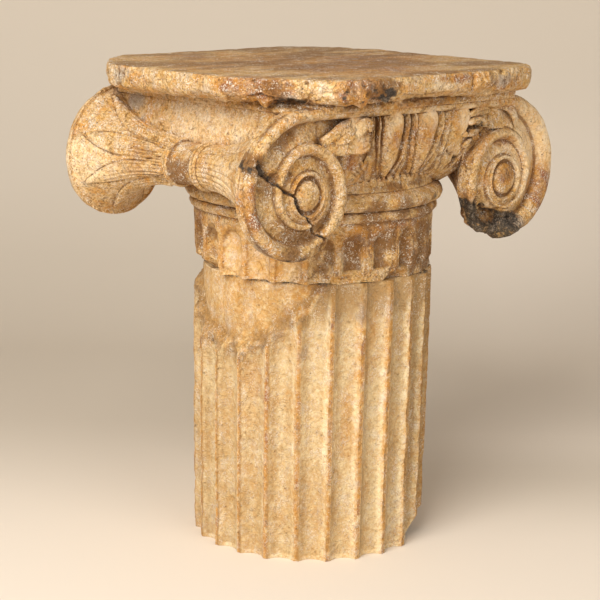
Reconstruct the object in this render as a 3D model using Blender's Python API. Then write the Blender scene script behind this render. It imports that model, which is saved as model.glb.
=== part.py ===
"""A weathered Ionic capital, carved with a short fluted collar, on the fluted drum that it stands on.

Two separate pieces: "capital" and "column_shaft". Metres, +Z up, the underside of the drum at z = 0
on the axis, and the capital's carved face towards -Y. Run it with blender --background --python
part.py, or from Blender's text editor.
"""

import math

import bmesh
import bpy
import numpy as np

# Driving sizes, in metres. The drum's diameter at its underside is one Roman foot.
FOOT = 0.296
SHAFT_BASE_RADIUS = FOOT / 2
SHAFT_TOP_RADIUS = 1.025 * SHAFT_BASE_RADIUS
SHAFT_HEIGHT = 0.348
JOINT_GAP = 0.0003
HEIGHT = 0.598

# Fluting: 24 flutes with narrow flat arrises between them.
FLUTES = 24
FLUTE_DEPTH = 0.0105
ARRIS_SHARE = 0.15
SHAFT_TURN = math.radians(2.9)
COLLAR_TURN = math.radians(4.7)

# Spall: where the drum has lost its skin under the joint, seen round the axis from its lowest point.
SPALL_MIDDLE = math.radians(176)
SPALL_LOW = 0.251
SPALL_RIGHT = math.radians(61)
SPALL_LEFT = math.radians(68)
SPALL_DEPTH = 0.0155

# Collar and the two rings over it.
COLLAR_RADIUS = 0.1500
FLUTE_HEAD = 0.394
COLLAR_TOP = 0.420

# Volutes: each spiral keeps this share of its radius over a quarter turn, and its first turn swells
# outwards over the bolster. They were cut by hand: eye height, radius at the top, swell and lift of
# the outer turns differ. Keys are the side (-1 is -X) and the face (-1 is the front, -Y).
EYE_X = 0.171
FACE_Y = {-1: 0.169, 1: 0.177}
VOLUTES = {
    (-1, -1): (0.4680, 0.0945, 0.0100, 0.0),
    (1, -1): (0.4560, 0.0995, 0.0100, 0.0035),
    (-1, 1): (0.4750, 0.0935, 0.0020, 0.0),
    (1, 1): (0.4660, 0.0950, 0.0050, 0.0),
}
SPIRAL_SHARE = 0.87
EYE_RADIUS = 0.0175
SLAB_THICKNESS = {-1: 0.023, 1: 0.010}
BACKWARD = 0.005
TURN_STEPS = 16
TURNS = 2

# Bolsters: the rolls that join the volutes at the sides, drawn in by a belt halfway.
WAIST_RADIUS = 0.0262
WAIST_X = 0.194
WAIST_Z = 0.487
BELT_HALF = 0.029

# Eggs of the echinus, spaced round the axis.
EGG_STEP = math.radians(20)
EGG_LOW = 0.474
EGG_TOP = 0.546

# Abacus: half widths over its rounded edge, and the plate under it.
ABACUS_HALF = (0.2265, 0.2110)
ABACUS_MIDDLE = (-0.004, 0.009)
PLATE_HALF = (0.1865, 0.177)
PLATE_SHIFT = 0.0035
# Corners of the abacus that are broken off: direction from the axis, and distance left.
BROKEN_CORNERS = ((math.radians(-142), 0.2410), (math.radians(136), 0.2560))

STONE = {
    "capital": ((0.58, 0.40, 0.21, 1.0), 0.78),
    "column_shaft": ((0.62, 0.45, 0.25, 1.0), 0.80),
}


def clear_scene():
    for obj in list(bpy.data.objects):
        bpy.data.objects.remove(obj, do_unlink=True)


def stone(name):
    colour, roughness = STONE[name]
    material = bpy.data.materials.new(name + "_stone")
    material.use_nodes = True
    shader = material.node_tree.nodes["Principled BSDF"]
    shader.inputs["Base Color"].default_value = colour
    shader.inputs["Roughness"].default_value = roughness
    shader.inputs["Metallic"].default_value = 0.0
    return material


def body(name, points, faces):
    """A mesh object with its faces turned outwards."""
    mesh = bpy.data.meshes.new(name)
    mesh.from_pydata(np.asarray(points).tolist(), [], faces)
    shape = bmesh.new()
    shape.from_mesh(mesh)
    bmesh.ops.recalc_face_normals(shape, faces=shape.faces)
    shape.to_mesh(mesh)
    shape.free()
    obj = bpy.data.objects.new(name, mesh)
    bpy.context.scene.collection.objects.link(obj)
    return obj


def skin(name, rows):
    """A closed body through an array (rows, columns, 3): each row is a loop, the end rows are capped."""
    count, across, _ = rows.shape
    index = np.arange(count * across).reshape(count, across)
    right = np.roll(index, -1, axis=1)
    quads = np.stack([index[:-1], right[:-1], right[1:], index[1:]], axis=-1).reshape(-1, 4)
    faces = quads.tolist() + [index[0, ::-1].tolist(), index[-1].tolist()]
    return body(name, rows.reshape(-1, 3), faces)


def ease(value, low, high):
    """0 below low, 1 above high, and a smooth step between."""
    share = np.clip((value - low) / (high - low), 0, 1)
    return share * share * (3 - 2 * share)


def lathe(name, angles, radii, heights):
    """A body of revolution whose radius may vary round the axis: radii has a row for each height."""
    x = radii * np.cos(angles)
    y = radii * np.sin(angles)
    z = np.broadcast_to(np.reshape(heights, (-1, 1)), x.shape)
    return skin(name, np.stack([x, y, z], axis=-1))


def wrap(angle):
    return (angle + math.pi) % (2 * math.pi) - math.pi


# Flutes ---------------------------------------------------------------------------------------


def flute_angles(turn):
    """Four columns a flute: its two edges, and one on each side of its deepest line."""
    edge = (1 - ARRIS_SHARE) / 2
    across = np.array([-edge, -0.42 * edge, 0.42 * edge, edge])
    pitch = 2 * math.pi / FLUTES
    return (np.arange(FLUTES)[:, None] * pitch + across * pitch).ravel() + turn - math.pi / 2


def flute_depth(angle, past_end, turn, radius):
    """Depth of a flute of circular section. Past its end the section turns into a rounded head."""
    pitch = 2 * math.pi / FLUTES
    across = np.abs((angle - turn + math.pi / 2 + pitch / 2) % pitch - pitch / 2) * radius
    half = (1 - ARRIS_SHARE) / 2 * pitch * radius
    curve = (half**2 + FLUTE_DEPTH**2) / (2 * FLUTE_DEPTH)
    away = np.hypot(across, np.maximum(past_end, 0))
    return np.maximum(np.sqrt(np.maximum(curve**2 - away**2, 0)) - (curve - FLUTE_DEPTH), 0)


# The drum -------------------------------------------------------------------------------------


def spall_edge(angle):
    """Height of the spall's lower edge: a lopsided bowl round its lowest point."""
    off = wrap(angle - SPALL_MIDDLE)
    share = np.where(off > 0, off / SPALL_RIGHT, -off / SPALL_LEFT)
    bowl = np.where(off > 0, np.abs(share) ** 2.15, np.abs(share) ** 1.3)
    ragged = 0.0035 * np.sin(11 * angle) + 0.002 * np.sin(27 * angle + 1)
    return SPALL_LOW + (SHAFT_HEIGHT - SPALL_LOW) * bowl + ragged


def shaft_radius(angle, z):
    share = z / SHAFT_HEIGHT
    outer = SHAFT_BASE_RADIUS + (SHAFT_TOP_RADIUS - SHAFT_BASE_RADIUS) * share
    fluted = outer - flute_depth(angle, 0 * z, SHAFT_TURN, outer)
    over = z - spall_edge(angle)
    spalled = outer - SPALL_DEPTH * ease(over, -0.001, 0.026) + 0.01 * ease(-over, 0, 0.002)
    chip_side = ease(np.cos(angle + math.radians(40)), 0.80, 0.97)
    chipped = outer - chip_side * (0.030 - 1.0 * z)
    return np.minimum(np.minimum(fluted, spalled), chipped)


def column_shaft():
    low = np.array([0, 0.030])
    high = np.linspace(0.244, SHAFT_HEIGHT, 7)
    heights = np.concatenate([low, high])
    angles = flute_angles(SHAFT_TURN)
    radii = shaft_radius(angles[None, :], heights[:, None])
    return lathe("column_shaft", angles, radii, heights)


# Collar, rings and echinus --------------------------------------------------------------------


def collar():
    base = SHAFT_HEIGHT + JOINT_GAP
    closed = base + 0.017
    heights = np.array([base, closed - 0.003, closed + 0.006, FLUTE_HEAD, 0.403, COLLAR_TOP])
    angles = flute_angles(COLLAR_TURN)
    angle, z = angles[None, :], heights[:, None]
    depth = flute_depth(angle, z - FLUTE_HEAD, COLLAR_TURN, COLLAR_RADIUS)
    # Between the front and the right volute the flutes stop over a broken ledge.
    ledge = ease(np.cos(angle + math.radians(80)), 0.70, 0.85) * ease(closed + 0.006 - z, 0, 0.008)
    radii = COLLAR_RADIUS - depth * (1 - ledge)
    return lathe("collar_shell", angles, radii, heights)


RING_PROFILE = (
    (0.1480, 0.416),
    (0.1510, 0.4205),
    (0.1540, 0.4225),
    (0.1557, 0.4270),
    (0.1540, 0.4315),
    (0.1530, 0.4335),
    (0.1585, 0.4360),
    (0.1614, 0.4425),
    (0.1600, 0.4490),
    (0.1550, 0.4530),
    (0.1490, 0.4550),
)


def rings():
    profile = np.array(RING_PROFILE)
    angles = np.arange(40) * 2 * math.pi / 40
    return lathe("ring_shell", angles, np.repeat(profile[:, :1], 40, axis=1), profile[:, 1])


# Radius, height, and how far the outline has turned from a circle into a rounded square.
ECHINUS_PROFILE = (
    (0.1490, 0.452, 0.0),
    (0.1450, 0.463, 0.15),
    (0.1460, 0.473, 0.3),
    (0.1530, 0.485, 0.5),
    (0.1592, 0.499, 0.75),
    (0.1625, 0.516, 0.95),
    (0.1635, 0.549, 1.0),
    (0.1610, 0.553, 1.0),
)


def egg_relief(angle, z):
    """Eggs stand proud inside a groove, with a husk ridge outside it. Lower down they draw in."""
    turn = np.abs((angle + math.pi / 2) % EGG_STEP / EGG_STEP - 0.5) * 2
    drop = np.clip((EGG_TOP - z) / (EGG_TOP - EGG_LOW), 0, 1)
    width = 0.60 * np.sqrt(np.maximum(1 - drop**2.6, 0.02))
    egg = 0.0065 * np.sqrt(np.maximum(1 - (turn / width) ** 2, 0))
    groove = -0.0045 * np.exp(-(((turn - width - 0.06) / 0.09) ** 2))
    husk = 0.003 * np.exp(-(((turn - width - 0.24) / 0.10) ** 2))
    return (egg + groove + husk) * ease(z, EGG_LOW - 0.006, EGG_LOW + 0.006)


def echinus():
    front = np.arange(-16, 17) / 8 * EGG_STEP - math.pi / 2
    side = np.linspace(front[-1], front[0] + math.pi, 6)[1:-1]
    angles = np.concatenate([front, side, front + math.pi, side + math.pi])
    profile = np.array(ECHINUS_PROFILE)
    circle, z, square = profile[:, :1], profile[:, 1:2], profile[:, 2:]
    reach = np.hypot(*rounded_square(circle + 0.004, circle + 0.004, 4, angles))
    radii = circle + (reach - circle) * square + egg_relief(angles, z)
    x, y = radii * np.cos(angles), radii * np.sin(angles) + 0.8 * BACKWARD * square
    return skin("echinus_shell", np.stack([x, y, np.broadcast_to(z, x.shape)], axis=-1))


# Volutes --------------------------------------------------------------------------------------


def spiral_radius(side, front, quarters):
    _, start, swell, _ = VOLUTES[side, front]
    return start * SPIRAL_SHARE**quarters + swell * np.exp(-(((quarters - 0.9) / 0.75) ** 2))


def volute_point(side, front, turn, radius):
    """A point of a volute's face at this angle and radius: the outer turns are lifted over the eye."""
    eye_z, start, _, lift = VOLUTES[side, front]
    return side * (EYE_X - np.cos(turn) * radius), eye_z + lift * radius / start + np.sin(turn) * radius


# Across a turn, from its outer edge to the next turn: share of the width, and depth under the face.
RIDGE = (
    (0.00, 0.0050),
    (0.05, 0.0010),
    (0.13, 0.0000),
    (0.22, 0.0008),
    (0.29, 0.0065),
    (0.55, 0.0092),
    (0.85, 0.0080),
)

CHANNEL_STATIONS = (0.14, 0.20, 0.80, 0.86)
CHANNEL_DEPTH = {-1: 0.018, 1: 0.0085}


def broken_face(x, z):
    """Depth lost from the face of the right volute, where its lower rim has broken away."""
    away = np.hypot((x - EYE_X + 0.035) / 0.052, (z - VOLUTES[1, -1][0] + 0.068) / 0.036)
    return 0.012 * (1 - ease(away, 0.75, 1.1))


def volute_slab(name, front):
    """Two volutes and the channel that joins them, as one plate whose face carries the relief.

    The face is a strip that runs in from the top of each spiral: a turn's inner edge is the next
    turn's outer edge, so the strip closes without a seam. front is -1 for the face towards -Y.
    """
    steps = TURN_STEPS * TURNS
    ridge = np.array(RIDGE)
    across = len(ridge)
    quarters = np.arange(steps + 1) * 4 / TURN_STEPS
    turn = math.pi / 2 + quarters * math.pi / 2
    last = np.clip(quarters - quarters[-1] + 4, 0, 4)
    points = []
    for side in (-1, 1):
        outer = spiral_radius(side, front, quarters)
        closing = outer[-1] + (EYE_RADIUS - outer[-1]) * last / 4
        inner = np.where(last > 0, closing, spiral_radius(side, front, quarters + 4))
        width = (outer - inner)[:, None]
        radius = outer[:, None] - width * ridge[:, 0]
        depth = ridge[:, 1] * np.minimum(width / 0.040, 1)
        x, z = volute_point(side, front, turn[:, None], radius)
        rows = [np.stack([x, depth, z], axis=-1).reshape(-1, 3)]
        for share, deep in ((1.0, 0.0050), (0.75, 0.0005)):
            x, z = volute_point(side, front, turn[-TURN_STEPS:], inner[-TURN_STEPS:] * share)
            rows.append(np.stack([x, np.full(TURN_STEPS, deep), z], axis=-1))
        rows.append(np.array([[side * EYE_X, -0.0015, VOLUTES[side, front][0]]]))
        points.append(np.concatenate(rows))
    points = np.concatenate(points)
    points[:, 1] += np.where(front < 0, broken_face(points[:, 0], points[:, 2]), 0)
    points[:, 1] = front * (FACE_Y[front] - points[:, 1])
    cells = (steps + 1) * across

    half = len(points) // 2

    def at(side, step, column):
        """The strip's point, where column == across is the outer edge of the next turn in."""
        start = side * half
        if column < across:
            return start + step * across + column
        if step + TURN_STEPS <= steps:
            return start + (step + TURN_STEPS) * across
        return start + cells + step - (steps - TURN_STEPS) - 1

    faces = []
    for side in (0, 1):
        for step in range(steps):
            for column in range(across):
                quad = [at(side, step, column), at(side, step + 1, column)]
                quad += [at(side, step + 1, column + 1), at(side, step, column + 1)]
                faces.append(list(dict.fromkeys(quad)))
        start = side * half + cells
        centre = start + 2 * TURN_STEPS
        first = side * half + steps * across
        rim = [start + i for i in range(TURN_STEPS)]
        dome = [start + TURN_STEPS + i for i in range(TURN_STEPS)]
        for i in range(TURN_STEPS - 1):
            faces.append([rim[i], rim[i + 1], dome[i + 1], dome[i]])
            faces.append([dome[i], dome[i + 1], centre])
        # The eye's rim closes over the end of the strip.
        end = [at(side, steps, column) for column in range(across)] + [rim[-1]]
        faces.append([first, rim[0], dome[0], dome[-1]] + end[::-1][:-1])
        faces.append([dome[-1], dome[0], centre])
    # The channel between the two volutes is cut deeper, behind the eggs.
    ends = [[at(side, 0, column) for column in range(across + 1)] for side in (0, 1)]
    stations = [ends[0]]
    for share in CHANNEL_STATIONS:
        middle = points[ends[0]] + (points[ends[1]] - points[ends[0]]) * share
        middle[4:, 1] = front * (FACE_Y[front] - CHANNEL_DEPTH[front])
        stations.append([len(points) + column for column in range(across + 1)])
        points = np.concatenate([points, middle])
    stations.append(ends[1])
    for left, right in zip(stations, stations[1:]):
        for column in range(across):
            faces.append([left[column], right[column], right[column + 1], left[column + 1]])
    outline = [at(0, step, 0) for step in range(TURN_STEPS + 1)]
    outline += [station[-1] for station in stations[1:-1]]
    outline += [at(1, step, 0) for step in range(TURN_STEPS, -1, -1)]
    outline += [station[0] for station in stations[-2:0:-1]]
    back = points[outline].copy()
    back[:, 1] = front * (FACE_Y[front] - SLAB_THICKNESS[front])
    base = len(points)
    points = np.concatenate([points, back])
    count = len(outline)
    for i in range(count):
        j = (i + 1) % count
        faces.append([outline[i], outline[j], base + j, base + i])
    faces.append([base + i for i in range(count)])
    return body(name, points, faces)


# Bolsters -------------------------------------------------------------------------------------

BELT_ROWS = ((0.000, 0.0252), (0.0185, 0.0256), (0.0220, 0.0292), (0.0265, 0.0290), (0.0290, 0.0262))
FLARE_ROWS = (0.3, 0.55, 0.78, 1.0)
# The roll on the right side stays fuller behind its volute.
FLARE_POWER = {-1: 2.3, 1: 1.5}


def leaf_relief(angle, share):
    """Lance-shaped leaves that spread from the belt to the rim, each with a raised midrib."""
    step = math.radians(50)
    off = np.abs((angle - math.radians(153) + step / 2) % step - step / 2)
    width = math.radians(21) * np.sin(math.pi * np.clip(share / 0.92, 0, 1) ** 0.75)
    inside = np.clip(1 - off / np.maximum(width, 0.02), 0, 1)
    return 0.0022 * ease(inside, 0, 0.25) + 0.0018 * ease(inside, 0.6, 1)


def bolster(name, side):
    """A roll lofted from the belt's circle to the outline of the volutes."""
    columns = 24
    turn = np.arange(columns) * 2 * math.pi / columns + math.pi / 2
    quarters = (turn - math.pi / 2) / (math.pi / 2)
    closing = ease(quarters, 3.0, 4.0)
    loops = []
    for front in (-1, 1):
        edge = spiral_radius(side, front, quarters)
        outline = edge + (edge[0] - edge) * closing - 0.003
        reach = FACE_Y[front] - SLAB_THICKNESS[front] + 0.002 - BELT_HALF
        rows = [(y, radius, 0.0) for y, radius in BELT_ROWS]
        rows += [(BELT_HALF + reach * share, WAIST_RADIUS, share) for share in FLARE_ROWS]
        rows.append((FACE_Y[front] - SLAB_THICKNESS[front] / 2, WAIST_RADIUS, 1.0))
        for y, radius, share in rows[::-1] if front < 0 else rows[1:]:
            relief = leaf_relief(turn, share) * (0 < share < 1)
            waist_x = side * (WAIST_X - np.cos(turn) * (radius + relief))
            waist_z = WAIST_Z + np.sin(turn) * (radius + relief)
            rim_x, rim_z = volute_point(side, front, turn, outline + relief)
            spread = share ** FLARE_POWER[side]
            x = waist_x + (rim_x - waist_x) * spread
            z = waist_z + (rim_z - waist_z) * spread
            loops.append(np.stack([x, np.full_like(x, front * y), z], axis=-1))
    return skin(name, np.array(loops))


# Block, plate and abacus ----------------------------------------------------------------------


def rounded_square(half_x, half_y, power, angles):
    """A superellipse: power 2 is an ellipse, and a high power nears a rectangle."""
    cos, sin = np.cos(angles), np.sin(angles)
    reach = (np.abs(cos / half_x) ** power + np.abs(sin / half_y) ** power) ** (-1 / power)
    return reach * cos, reach * sin


BLOCK_ROWS = ((0.452, 0.140, 0.120), (0.470, 0.150, 0.145), (0.490, 0.176, 0.1588), (0.566, 0.180, 0.1588))
BLOCK_MIDDLE = 0.009


def cut_square(half_x, half_y, cuts, middle, z):
    """A loop round a rectangle whose corners are cut: back right, front right, front left, back left."""
    x = np.repeat([half_x, half_x, -half_x, -half_x], 2)
    y = np.repeat([half_y, -half_y, -half_y, half_y], 2)
    cuts = np.repeat(cuts, 2)
    x -= np.sign(x) * cuts * [1, 0, 0, 1, 1, 0, 0, 1]
    y -= np.sign(y) * cuts * [0, 1, 1, 0, 0, 1, 1, 0]
    return np.column_stack([x, y + middle, np.full(8, z)])


def block():
    """The mass between the volutes, from the rings up to the plate."""
    cuts = [0.034] * 4
    rows = [cut_square(half_x, half_y, cuts, BLOCK_MIDDLE, z) for z, half_x, half_y in BLOCK_ROWS]
    return skin("block_shell", np.array(rows))


def plate():
    """The fillet under the abacus."""
    rows = []
    for z, inset in ((0.5568, 0.004), (0.5585, 0.0), (0.566, 0.0), (0.572, 0.003)):
        half_x, half_y = PLATE_HALF[0] - inset, PLATE_HALF[1] - inset
        rows.append(cut_square(half_x, half_y, (0.010, 0.010, 0.036, 0.020), BACKWARD, z))
    rows = np.array(rows)
    rows[..., 0] += PLATE_SHIFT
    return skin("plate_shell", rows)


# Height, and how far the outline is drawn in.
ABACUS_ROWS = (
    (0.5675, 0.022),
    (0.5715, 0.006),
    (0.5780, 0.0),
    (0.5890, 0.0005),
    (0.5950, 0.003),
    (HEIGHT, 0.009),
)


def abacus_edge(angles):
    """Distance of the abacus's outline from the axis: a rounded square less its broken corners."""
    x, y = rounded_square(ABACUS_HALF[0], ABACUS_HALF[1], 6, angles)
    x, y = x + ABACUS_MIDDLE[0], y + ABACUS_MIDDLE[1]
    turn, reach = np.arctan2(y, x), np.hypot(x, y)
    for direction, distance in BROKEN_CORNERS:
        flat = distance / np.maximum(np.cos(turn - direction), 0.5)
        reach = (reach**-24 + flat**-24) ** (-1 / 24)
    return turn, reach


def abacus():
    angles = np.arange(48) * 2 * math.pi / 48
    turn, reach = abacus_edge(angles)
    rows = []
    for z, inset in ABACUS_ROWS:
        x, y = (reach - inset) * np.cos(turn), (reach - inset) * np.sin(turn)
        rows.append(np.stack([x, y, np.full_like(x, z)], axis=-1))
    return skin("abacus_shell", np.array(rows))


# Leaves in the corners over the volutes --------------------------------------------------------


def leaflet(name, x, z, front, length, width, lean):
    """A pointed blade, lying on the echinus and curling forwards at its tip."""
    along = np.array([0.0, 0.35, 0.7, 1.0])
    turn = np.arange(6) * 2 * math.pi / 6
    rows = []
    for share in along:
        thick = max(math.sin(math.pi * min(share * 0.9 + 0.08, 0.97)), 0.15)
        centre_x = x + math.copysign(math.cos(lean), -x) * length * share
        centre_z = z + math.sin(lean) * length * share
        forward = FACE_Y[front] - 0.012 + 0.006 * share * share
        ring_x = centre_x + math.copysign(math.sin(lean), x) * np.cos(turn) * width * thick / 2
        ring_z = centre_z + math.cos(lean) * np.cos(turn) * width * thick / 2
        ring_y = front * (forward + np.sin(turn) * 0.007 * thick)
        rows.append(np.stack([ring_x, ring_y, ring_z], axis=-1))
    return skin(name, np.array(rows))


# Lean over the horizontal in degrees, length and width. The back has two leaflets a corner.
LEAFLETS = ((38, 0.052, 0.016), (8, 0.048, 0.018), (-24, 0.034, 0.013))


def corner_leaves(front):
    leaves = []
    count = 3 if front < 0 else 2
    for side in (-1, 1):
        for number, (lean, length, width) in enumerate(LEAFLETS[:count]):
            name = f"leaf_shell_{'front' if front < 0 else 'back'}_{side}_{number}"
            x = side * (EYE_X - 0.040)
            z = VOLUTES[side, front][0] + 0.042
            leaves.append(leaflet(name, x, z, front, length, width, math.radians(lean)))
    return leaves


# Assembly -------------------------------------------------------------------------------------


def capital():
    whole = block()
    whole.name = "capital"
    parts = [collar(), rings(), echinus(), plate(), abacus()]
    parts += [bolster("bolster_left", -1), bolster("bolster_right", 1)]
    parts += [volute_slab("volutes_front", -1), volute_slab("volutes_back", 1)]
    parts += corner_leaves(-1) + corner_leaves(1)
    for part in parts:
        part.hide_render = True
        part.display_type = "WIRE"
        union = whole.modifiers.new(part.name, "BOOLEAN")
        union.operation = "UNION"
        union.solver = "EXACT"
        union.object = part
    return whole


clear_scene()
for piece in (column_shaft(), capital()):
    piece.data.materials.append(stone(piece.name))
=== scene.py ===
# %% [markdown]
# # A weathered Ionic capital on its drum
#
# An Ionic capital is the carved block between a column and the beam that it carries. Two scrolls, the
# volutes, look out of its front and its back, and a roll at each side, the bolster, joins them. An egg band
# and two rings lead down to the fluted collar. This one is honey-coloured marble, long out of doors: its
# corners are broken, its hollows are dirty and a large flake has come off the drum under it.
#
# The measured solids of both blocks are loaded first. They hold the true size, and the two finished pieces
# made here take their place: the same forms on much finer grids, then worn, chipped and stained.

# %% Load the solids
import math

import bmesh
import bpy
import numpy as np
from mathutils import Matrix, Vector


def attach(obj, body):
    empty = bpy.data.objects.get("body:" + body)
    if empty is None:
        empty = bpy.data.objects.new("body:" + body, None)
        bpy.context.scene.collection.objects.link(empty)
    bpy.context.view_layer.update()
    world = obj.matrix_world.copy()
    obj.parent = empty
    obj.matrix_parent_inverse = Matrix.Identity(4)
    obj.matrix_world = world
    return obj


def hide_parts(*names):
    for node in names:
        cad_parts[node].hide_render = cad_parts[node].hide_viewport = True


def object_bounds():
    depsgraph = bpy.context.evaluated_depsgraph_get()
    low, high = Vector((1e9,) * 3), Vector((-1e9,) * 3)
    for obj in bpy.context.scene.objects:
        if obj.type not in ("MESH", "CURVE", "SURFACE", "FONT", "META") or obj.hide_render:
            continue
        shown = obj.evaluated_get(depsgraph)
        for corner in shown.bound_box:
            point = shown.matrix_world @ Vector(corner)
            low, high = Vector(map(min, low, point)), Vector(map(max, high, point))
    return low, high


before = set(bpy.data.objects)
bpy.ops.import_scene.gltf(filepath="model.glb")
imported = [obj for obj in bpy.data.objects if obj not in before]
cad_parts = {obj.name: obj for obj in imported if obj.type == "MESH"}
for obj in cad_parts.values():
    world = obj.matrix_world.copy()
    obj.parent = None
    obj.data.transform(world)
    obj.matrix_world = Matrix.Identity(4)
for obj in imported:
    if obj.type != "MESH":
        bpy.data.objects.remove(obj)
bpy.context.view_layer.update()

# %% [markdown]
# ## Grids and curves
#
# Every form here is a surface over a grid: a function gives the place of each crossing, and neighbouring
# crossings make a face. Working on whole arrays at once keeps that short and quick. A form that runs round
# an axis is a stack of closed loops, and its two open ends are closed by a fan of triangles.

# %% Helpers for grids and curves


def ease(value, low, high):
    """0 below low, 1 above high, and a smooth S-shaped step between them."""
    share = np.clip((value - low) / (high - low), 0, 1)
    return share * share * (3 - 2 * share)


def bump(value, middle, width):
    """A bell curve of height 1: e to the minus square of the distance over the width."""
    return np.exp(-(((value - middle) / width) ** 2))


def smooth_through(stations, values, at):
    """A smooth curve through the values: a cubic on each stretch, with the mean slope at each station."""
    stations, values = np.asarray(stations, float), np.asarray(values, float)
    slope = np.gradient(values, stations)
    i = np.clip(np.searchsorted(stations, at, side="right") - 1, 0, len(stations) - 2)
    width = stations[i + 1] - stations[i]
    t = np.clip((at - stations[i]) / width, 0, 1)
    low = values[i] * (1 + 2 * t) * (1 - t) ** 2 + width * slope[i] * t * (1 - t) ** 2
    return low + values[i + 1] * t * t * (3 - 2 * t) - width * slope[i + 1] * t * t * (1 - t)


def wrap(angle):
    return (angle + math.pi) % (2 * math.pi) - math.pi


def mesh_object(name, points, faces, flat_ends=()):
    """A mesh of four-cornered faces. One whose last two corners are the same is a triangle."""
    triangle = faces[:, 2] == faces[:, 3]
    mesh = bpy.data.meshes.new(name)
    sides = faces[~triangle].tolist() + faces[triangle, :3].tolist()
    mesh.from_pydata(points.tolist(), [], sides + [list(loop) for loop in flat_ends])
    shape = bmesh.new()
    shape.from_mesh(mesh)
    bmesh.ops.recalc_face_normals(shape, faces=shape.faces)
    shape.to_mesh(mesh)
    shape.free()
    obj = bpy.data.objects.new(name, mesh)
    bpy.context.scene.collection.objects.link(obj)
    return obj


def grid_faces(index):
    """Faces between neighbouring entries of a table of point numbers."""
    corners = [index[:-1, :-1], index[:-1, 1:], index[1:, 1:], index[1:, :-1]]
    return np.stack(corners, axis=-1).reshape(-1, 4)


def fan(loop, centre):
    """Triangles from each step of a closed loop to one centre point."""
    after = np.roll(loop, -1)
    middle = np.full_like(loop, centre)
    return np.stack([loop, after, middle, middle], axis=-1)


def loft(name, rows):
    """A closed form through loops, rows[row, column] being a point, with a fan over each end."""
    count, across, _ = rows.shape
    index = np.arange(count * across).reshape(count, across)
    body = grid_faces(np.column_stack([index, index[:, :1]]))
    ends = np.stack([rows[0].mean(axis=0), rows[-1].mean(axis=0)])
    points = np.concatenate([rows.reshape(-1, 3), ends])
    faces = [body, fan(index[0], count * across), fan(index[-1], count * across + 1)]
    return mesh_object(name, points, np.concatenate(faces))


def stack(x, y, z):
    return np.stack(np.broadcast_arrays(x, y, z), axis=-1).astype(float)


def around(radius, angle, z):
    """Points at that distance and angle from the upright axis."""
    return stack(radius * np.cos(angle), radius * np.sin(angle), z)


# %% [markdown]
# ## Noise that is the same on every run
#
# Stone wears unevenly at every scale. The usual stand-in is value noise: random numbers on a cubic lattice,
# blended smoothly inside each cell, and added up at halving sizes. The numbers come from a seeded generator,
# so the stone looks the same each time. A second kind measures the distance to scattered points, for pits.

# %% Noise
SEED, LAYERS, CELLS = 5, 8, 32
LATTICE = np.random.default_rng(SEED).random((LAYERS, CELLS, CELLS, CELLS))


def noise(points, size, layer=0):
    """Value noise from 0 to 1: the eight lattice numbers round a point, weighted by eased distances."""
    spot = np.asarray(points) / size
    cell = np.floor(spot).astype(int)
    share = spot - cell
    share = share * share * (3 - 2 * share)
    total = 0
    for corner in np.ndindex(2, 2, 2):
        weight = np.prod(np.where(corner, share, 1 - share), axis=-1)
        i, j, k = np.moveaxis((cell + corner) % CELLS, -1, 0)
        total = total + weight * LATTICE[layer, i, j, k]
    return total


def cloud(points, size, octaves=4, layer=0):
    """Noise summed at halving sizes and halving strengths, brought back to 0 to 1."""
    weights = 0.5 ** np.arange(octaves)
    layers = [noise(points, size * weight, (layer + i) % LAYERS) for i, weight in enumerate(weights)]
    return np.tensordot(weights, layers, 1) / weights.sum()


def pits(points, size, layer=0):
    """Distance to the nearest of the points scattered one to a cell, in cells."""
    spot = np.asarray(points) / size
    cell = np.floor(spot).astype(int)
    nearest = np.full(spot.shape[:-1], 9.0)
    for step in np.ndindex(3, 3, 3):
        near = cell + step - 1
        i, j, k = np.moveaxis(near % CELLS, -1, 0)
        seed = [LATTICE[(layer + n) % LAYERS, i, j, k] for n in range(3)]
        away = np.linalg.norm(near + np.stack(seed, axis=-1) - spot, axis=-1)
        nearest = np.minimum(nearest, away)
    return nearest


# %% [markdown]
# ## The blocks' own sizes
#
# These are the solids' driving sizes, in metres: the drum is one Roman foot across. The finished pieces are
# worked out from the same numbers, so they sit exactly where the solids are.

# %% Sizes
FOOT = 0.296
SHAFT_HEIGHT = 0.348
SHAFT_BASE_RADIUS = FOOT / 2
SHAFT_TOP_RADIUS = 1.025 * SHAFT_BASE_RADIUS
JOINT_GAP = 0.0003
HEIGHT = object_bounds()[1][2]

FLUTES = 24
PITCH = 2 * math.pi / FLUTES
FLUTE_DEPTH = 0.0105
ARRIS_SHARE = 0.15
SHAFT_TURN = math.radians(2.9)
COLLAR_TURN = math.radians(4.7)
flute_step = 1000 * PITCH * SHAFT_BASE_RADIUS
print(f"{FLUTES} flutes, {flute_step:.1f} mm apart, on a drum {1000 * FOOT:.0f} mm wide")

# %% [markdown]
# ## The fluted drum
#
# A flute is a shallow channel of circular section, and the narrow flat band left between two flutes is an
# arris. The drum could be a cylinder with 24 cutters taken from it, but then the wear along the arrises would
# be hard to place. Here the radius is one function of angle and height, so a worn arris, the big flake that
# has come off the top and the chipped foot are all terms of the same sum.

# %% Flutes and the drum's radius
ACROSS = np.array([-0.93, -0.86, -0.79, -0.66, -0.50, -0.30, -0.10, 0.10, 0.30, 0.50, 0.66, 0.79, 0.86, 0.93])


def flute_angles(turn):
    """Fourteen columns a flute, close together where the flute meets its arrises."""
    return (np.arange(FLUTES)[:, None] * PITCH + ACROSS * PITCH / 2).ravel() + turn - math.pi / 2


def across_flute(angle, turn):
    """Place across a flute in half pitches: 0 on its middle line, -1 and 1 on the arrises beside it."""
    return ((angle - turn + math.pi / 2 + PITCH / 2) % PITCH - PITCH / 2) / (PITCH / 2)


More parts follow.
